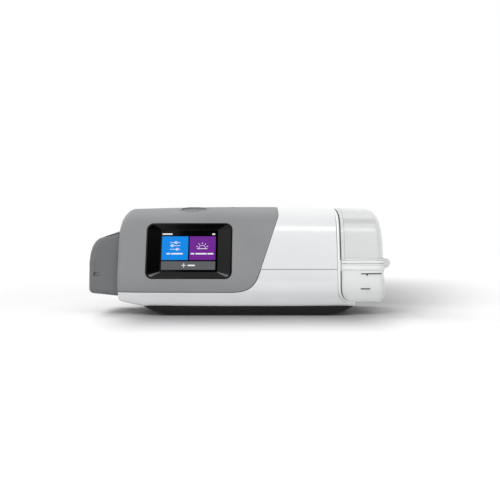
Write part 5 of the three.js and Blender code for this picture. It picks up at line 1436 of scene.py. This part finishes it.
# Studio, in metres
FLOOR_REACH = 6
FLOOR_SHADE = (136, 136, 138)
FLOOR_LIFT = 0.3
BASE_MIDDLE = (0.008, -0.005, 0)
BASE_HALF = (0.075, 0.06, 0)
POOL_NARROWING = (2.6, 1, 1)
POOL_REACH = 0.15
POOL_DARKNESS = 0.83
FAN_FROM = (0.007, -0.669)
FAN_SLOPE = 0.17
FAN_DARKNESS = 0.85
UNSEEN_DARKNESS = 0.15
SURROUND_LIGHT = 0.31
SURROUND_SEEN = 1.0
CAMERA = (0.007, -0.66925, 0.0551)
FOCAL_PIXELS = 730
FRAME_PIXELS = 500
SENSOR_WIDTH = 36


def stage_sheet(name, corners, material):
    piece = meshed(name, np.array(corners) / MM, [(0, 1, 2, 3)])
    piece.data.materials.append(material)
    piece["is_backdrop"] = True
    return piece


def floor_finish():
    """Pale paper with a soft pool of shade round the base, and a shade that fans out behind the case."""
    finish = Finish("floor white", (242, 242, 242), 0.9)
    finish.put("Roughness", 0.85 + finish.noise(40, 2.0) * 0.1)

    def smooth(value, *ends):
        return finish.node("MapRange", {"interpolation_type": "SMOOTHSTEP"}, value, *ends)

    outside = finish.vectors("ABSOLUTE", finish.vectors("SUBTRACT", finish.place, BASE_MIDDLE))
    outside = finish.vectors("MAXIMUM", finish.vectors("SUBTRACT", outside, BASE_HALF), (0, 0, 0))
    away = finish.vectors("LENGTH", outside, output="Value")
    narrowed = finish.vectors("MULTIPLY", outside, POOL_NARROWING)
    pool = smooth(finish.vectors("LENGTH", narrowed, output="Value"), 0.0, POOL_REACH, POOL_DARKNESS, 0.0)
    x, y = [finish.node("SeparateXYZ", {}, finish.place, output=axis) for axis in "XY"]
    aside = finish.maths("ABSOLUTE", (x - FAN_FROM[0]) / (y - FAN_FROM[1]) - FAN_SLOPE)
    fan = smooth(aside, -0.027, 0.175, FAN_DARKNESS, 0.0)
    fan = fan * smooth(y, 0.1, 1.0, 1.0, 0.0) * smooth(y, -0.1, 0.1, 0.0, 1.0)
    seen = finish.node("LightPath", {}, output="Is Camera Ray")
    shade = pool + fan - pool * fan
    finish.tint(seen * shade + (1 - seen) * UNSEEN_DARKNESS, FLOOR_SHADE)
    far = finish.node("MapRange", {}, away, 0.2, 1.2, 0.07, 1.0)
    finish.put("Emission Color", finish.mixed(seen * far * (1 - fan), (0, 0, 0, 1), (1, 1, 1, 1)))
    finish.put("Emission Strength", FLOOR_LIFT)
    return finish.material


def floor():
    corners = [(FLOOR_REACH * x, FLOOR_REACH * y, 0) for x, y in [(-1, -1), (1, -1), (1, 1), (-1, 1)]]
    stage_sheet("floor", corners, floor_finish())


def dark_card():
    """A dark card behind the camera, which only reflections show."""
    corners = [(-0.36, -1.6, 0), (0.44, -1.6, 0), (0.44, -1.6, 1.12), (-0.36, -1.6, 1.12)]
    finish = plastic("card black", (6, 6, 6), 0.95, share=0.3, specular_ior_level=0.0)
    piece = stage_sheet("dark_card", corners, finish)
    piece.visible_camera = False
    piece.visible_diffuse = False
    piece.visible_transmission = False
    piece.visible_shadow = False


def lamp(name, kind, place, aim, energy, **settings):
    light = bpy.data.lights.new(name, kind)
    light.energy = energy
    for key, value in settings.items():
        setattr(light, key, value)
    piece = linked(name, light)
    piece.location = place
    piece.rotation_euler = (Vector(aim) - Vector(place)).to_track_quat("-Z", "Y").to_euler()
    return piece


def studio():
    """A white surround that lights softly, two broad suns and a strip lamp over the camera."""
    world = bpy.data.worlds.new("studio")
    bpy.context.scene.world = world
    nodes = Nodes(world)
    either = nodes.maths("MAXIMUM", *[
        nodes.node("LightPath", {}, output=ray) for ray in ("Is Camera Ray", "Is Glossy Ray")
    ])
    strengths = (SURROUND_LIGHT, SURROUND_SEEN)
    light, white = [nodes.node("Background", {}, (1, 1, 1, 1), strength) for strength in strengths]
    nodes.node("OutputWorld", {}, nodes.node("MixShader", {}, either, light, white))
    for name, place, energy, spread_angle in [
        ("above", (-0.45, 0.5, 0.85), 1.85, 45),
        ("front", (-0.55, -0.75, 0.5), 0.7, 35),
    ]:
        sun = lamp(name, "SUN", place, (0, 0, 0), energy, angle=math.radians(spread_angle))
        sun.visible_glossy = False
    strip_form = {"shape": "RECTANGLE", "size": 1.8, "size_y": 0.19}
    lamp("strip", "AREA", (0.05, -1.15, 0.965), (0, 0, 0.06), 9.3, **strip_form)


def camera():
    lens = bpy.data.cameras.new("camera")
    lens.sensor_width = SENSOR_WIDTH
    lens.sensor_fit = "HORIZONTAL"
    lens.lens = SENSOR_WIDTH * FOCAL_PIXELS / FRAME_PIXELS
    piece = linked("camera", lens)
    piece.location = CAMERA
    piece.rotation_euler = (math.pi / 2, 0, 0)
    bpy.context.scene.camera = piece


bpy.context.scene.view_settings.view_transform = "Standard"
camera()
floor()
dark_card()
studio()
inner_parts()
grey_wrap()
white_upper()
white_lower()
end_bezel()
seam_shade_strips()
tub_gap_shades()
screen()
picture()
start_button()
sensor_window()
filter_cover()
air_filter()
base_tray()
feet_and_screws()
rear_panel()
outlet()
tub_base()
tub_lid()
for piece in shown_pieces():
    piece.modifiers.new("normals", "WEIGHTED_NORMAL").keep_sharp = True
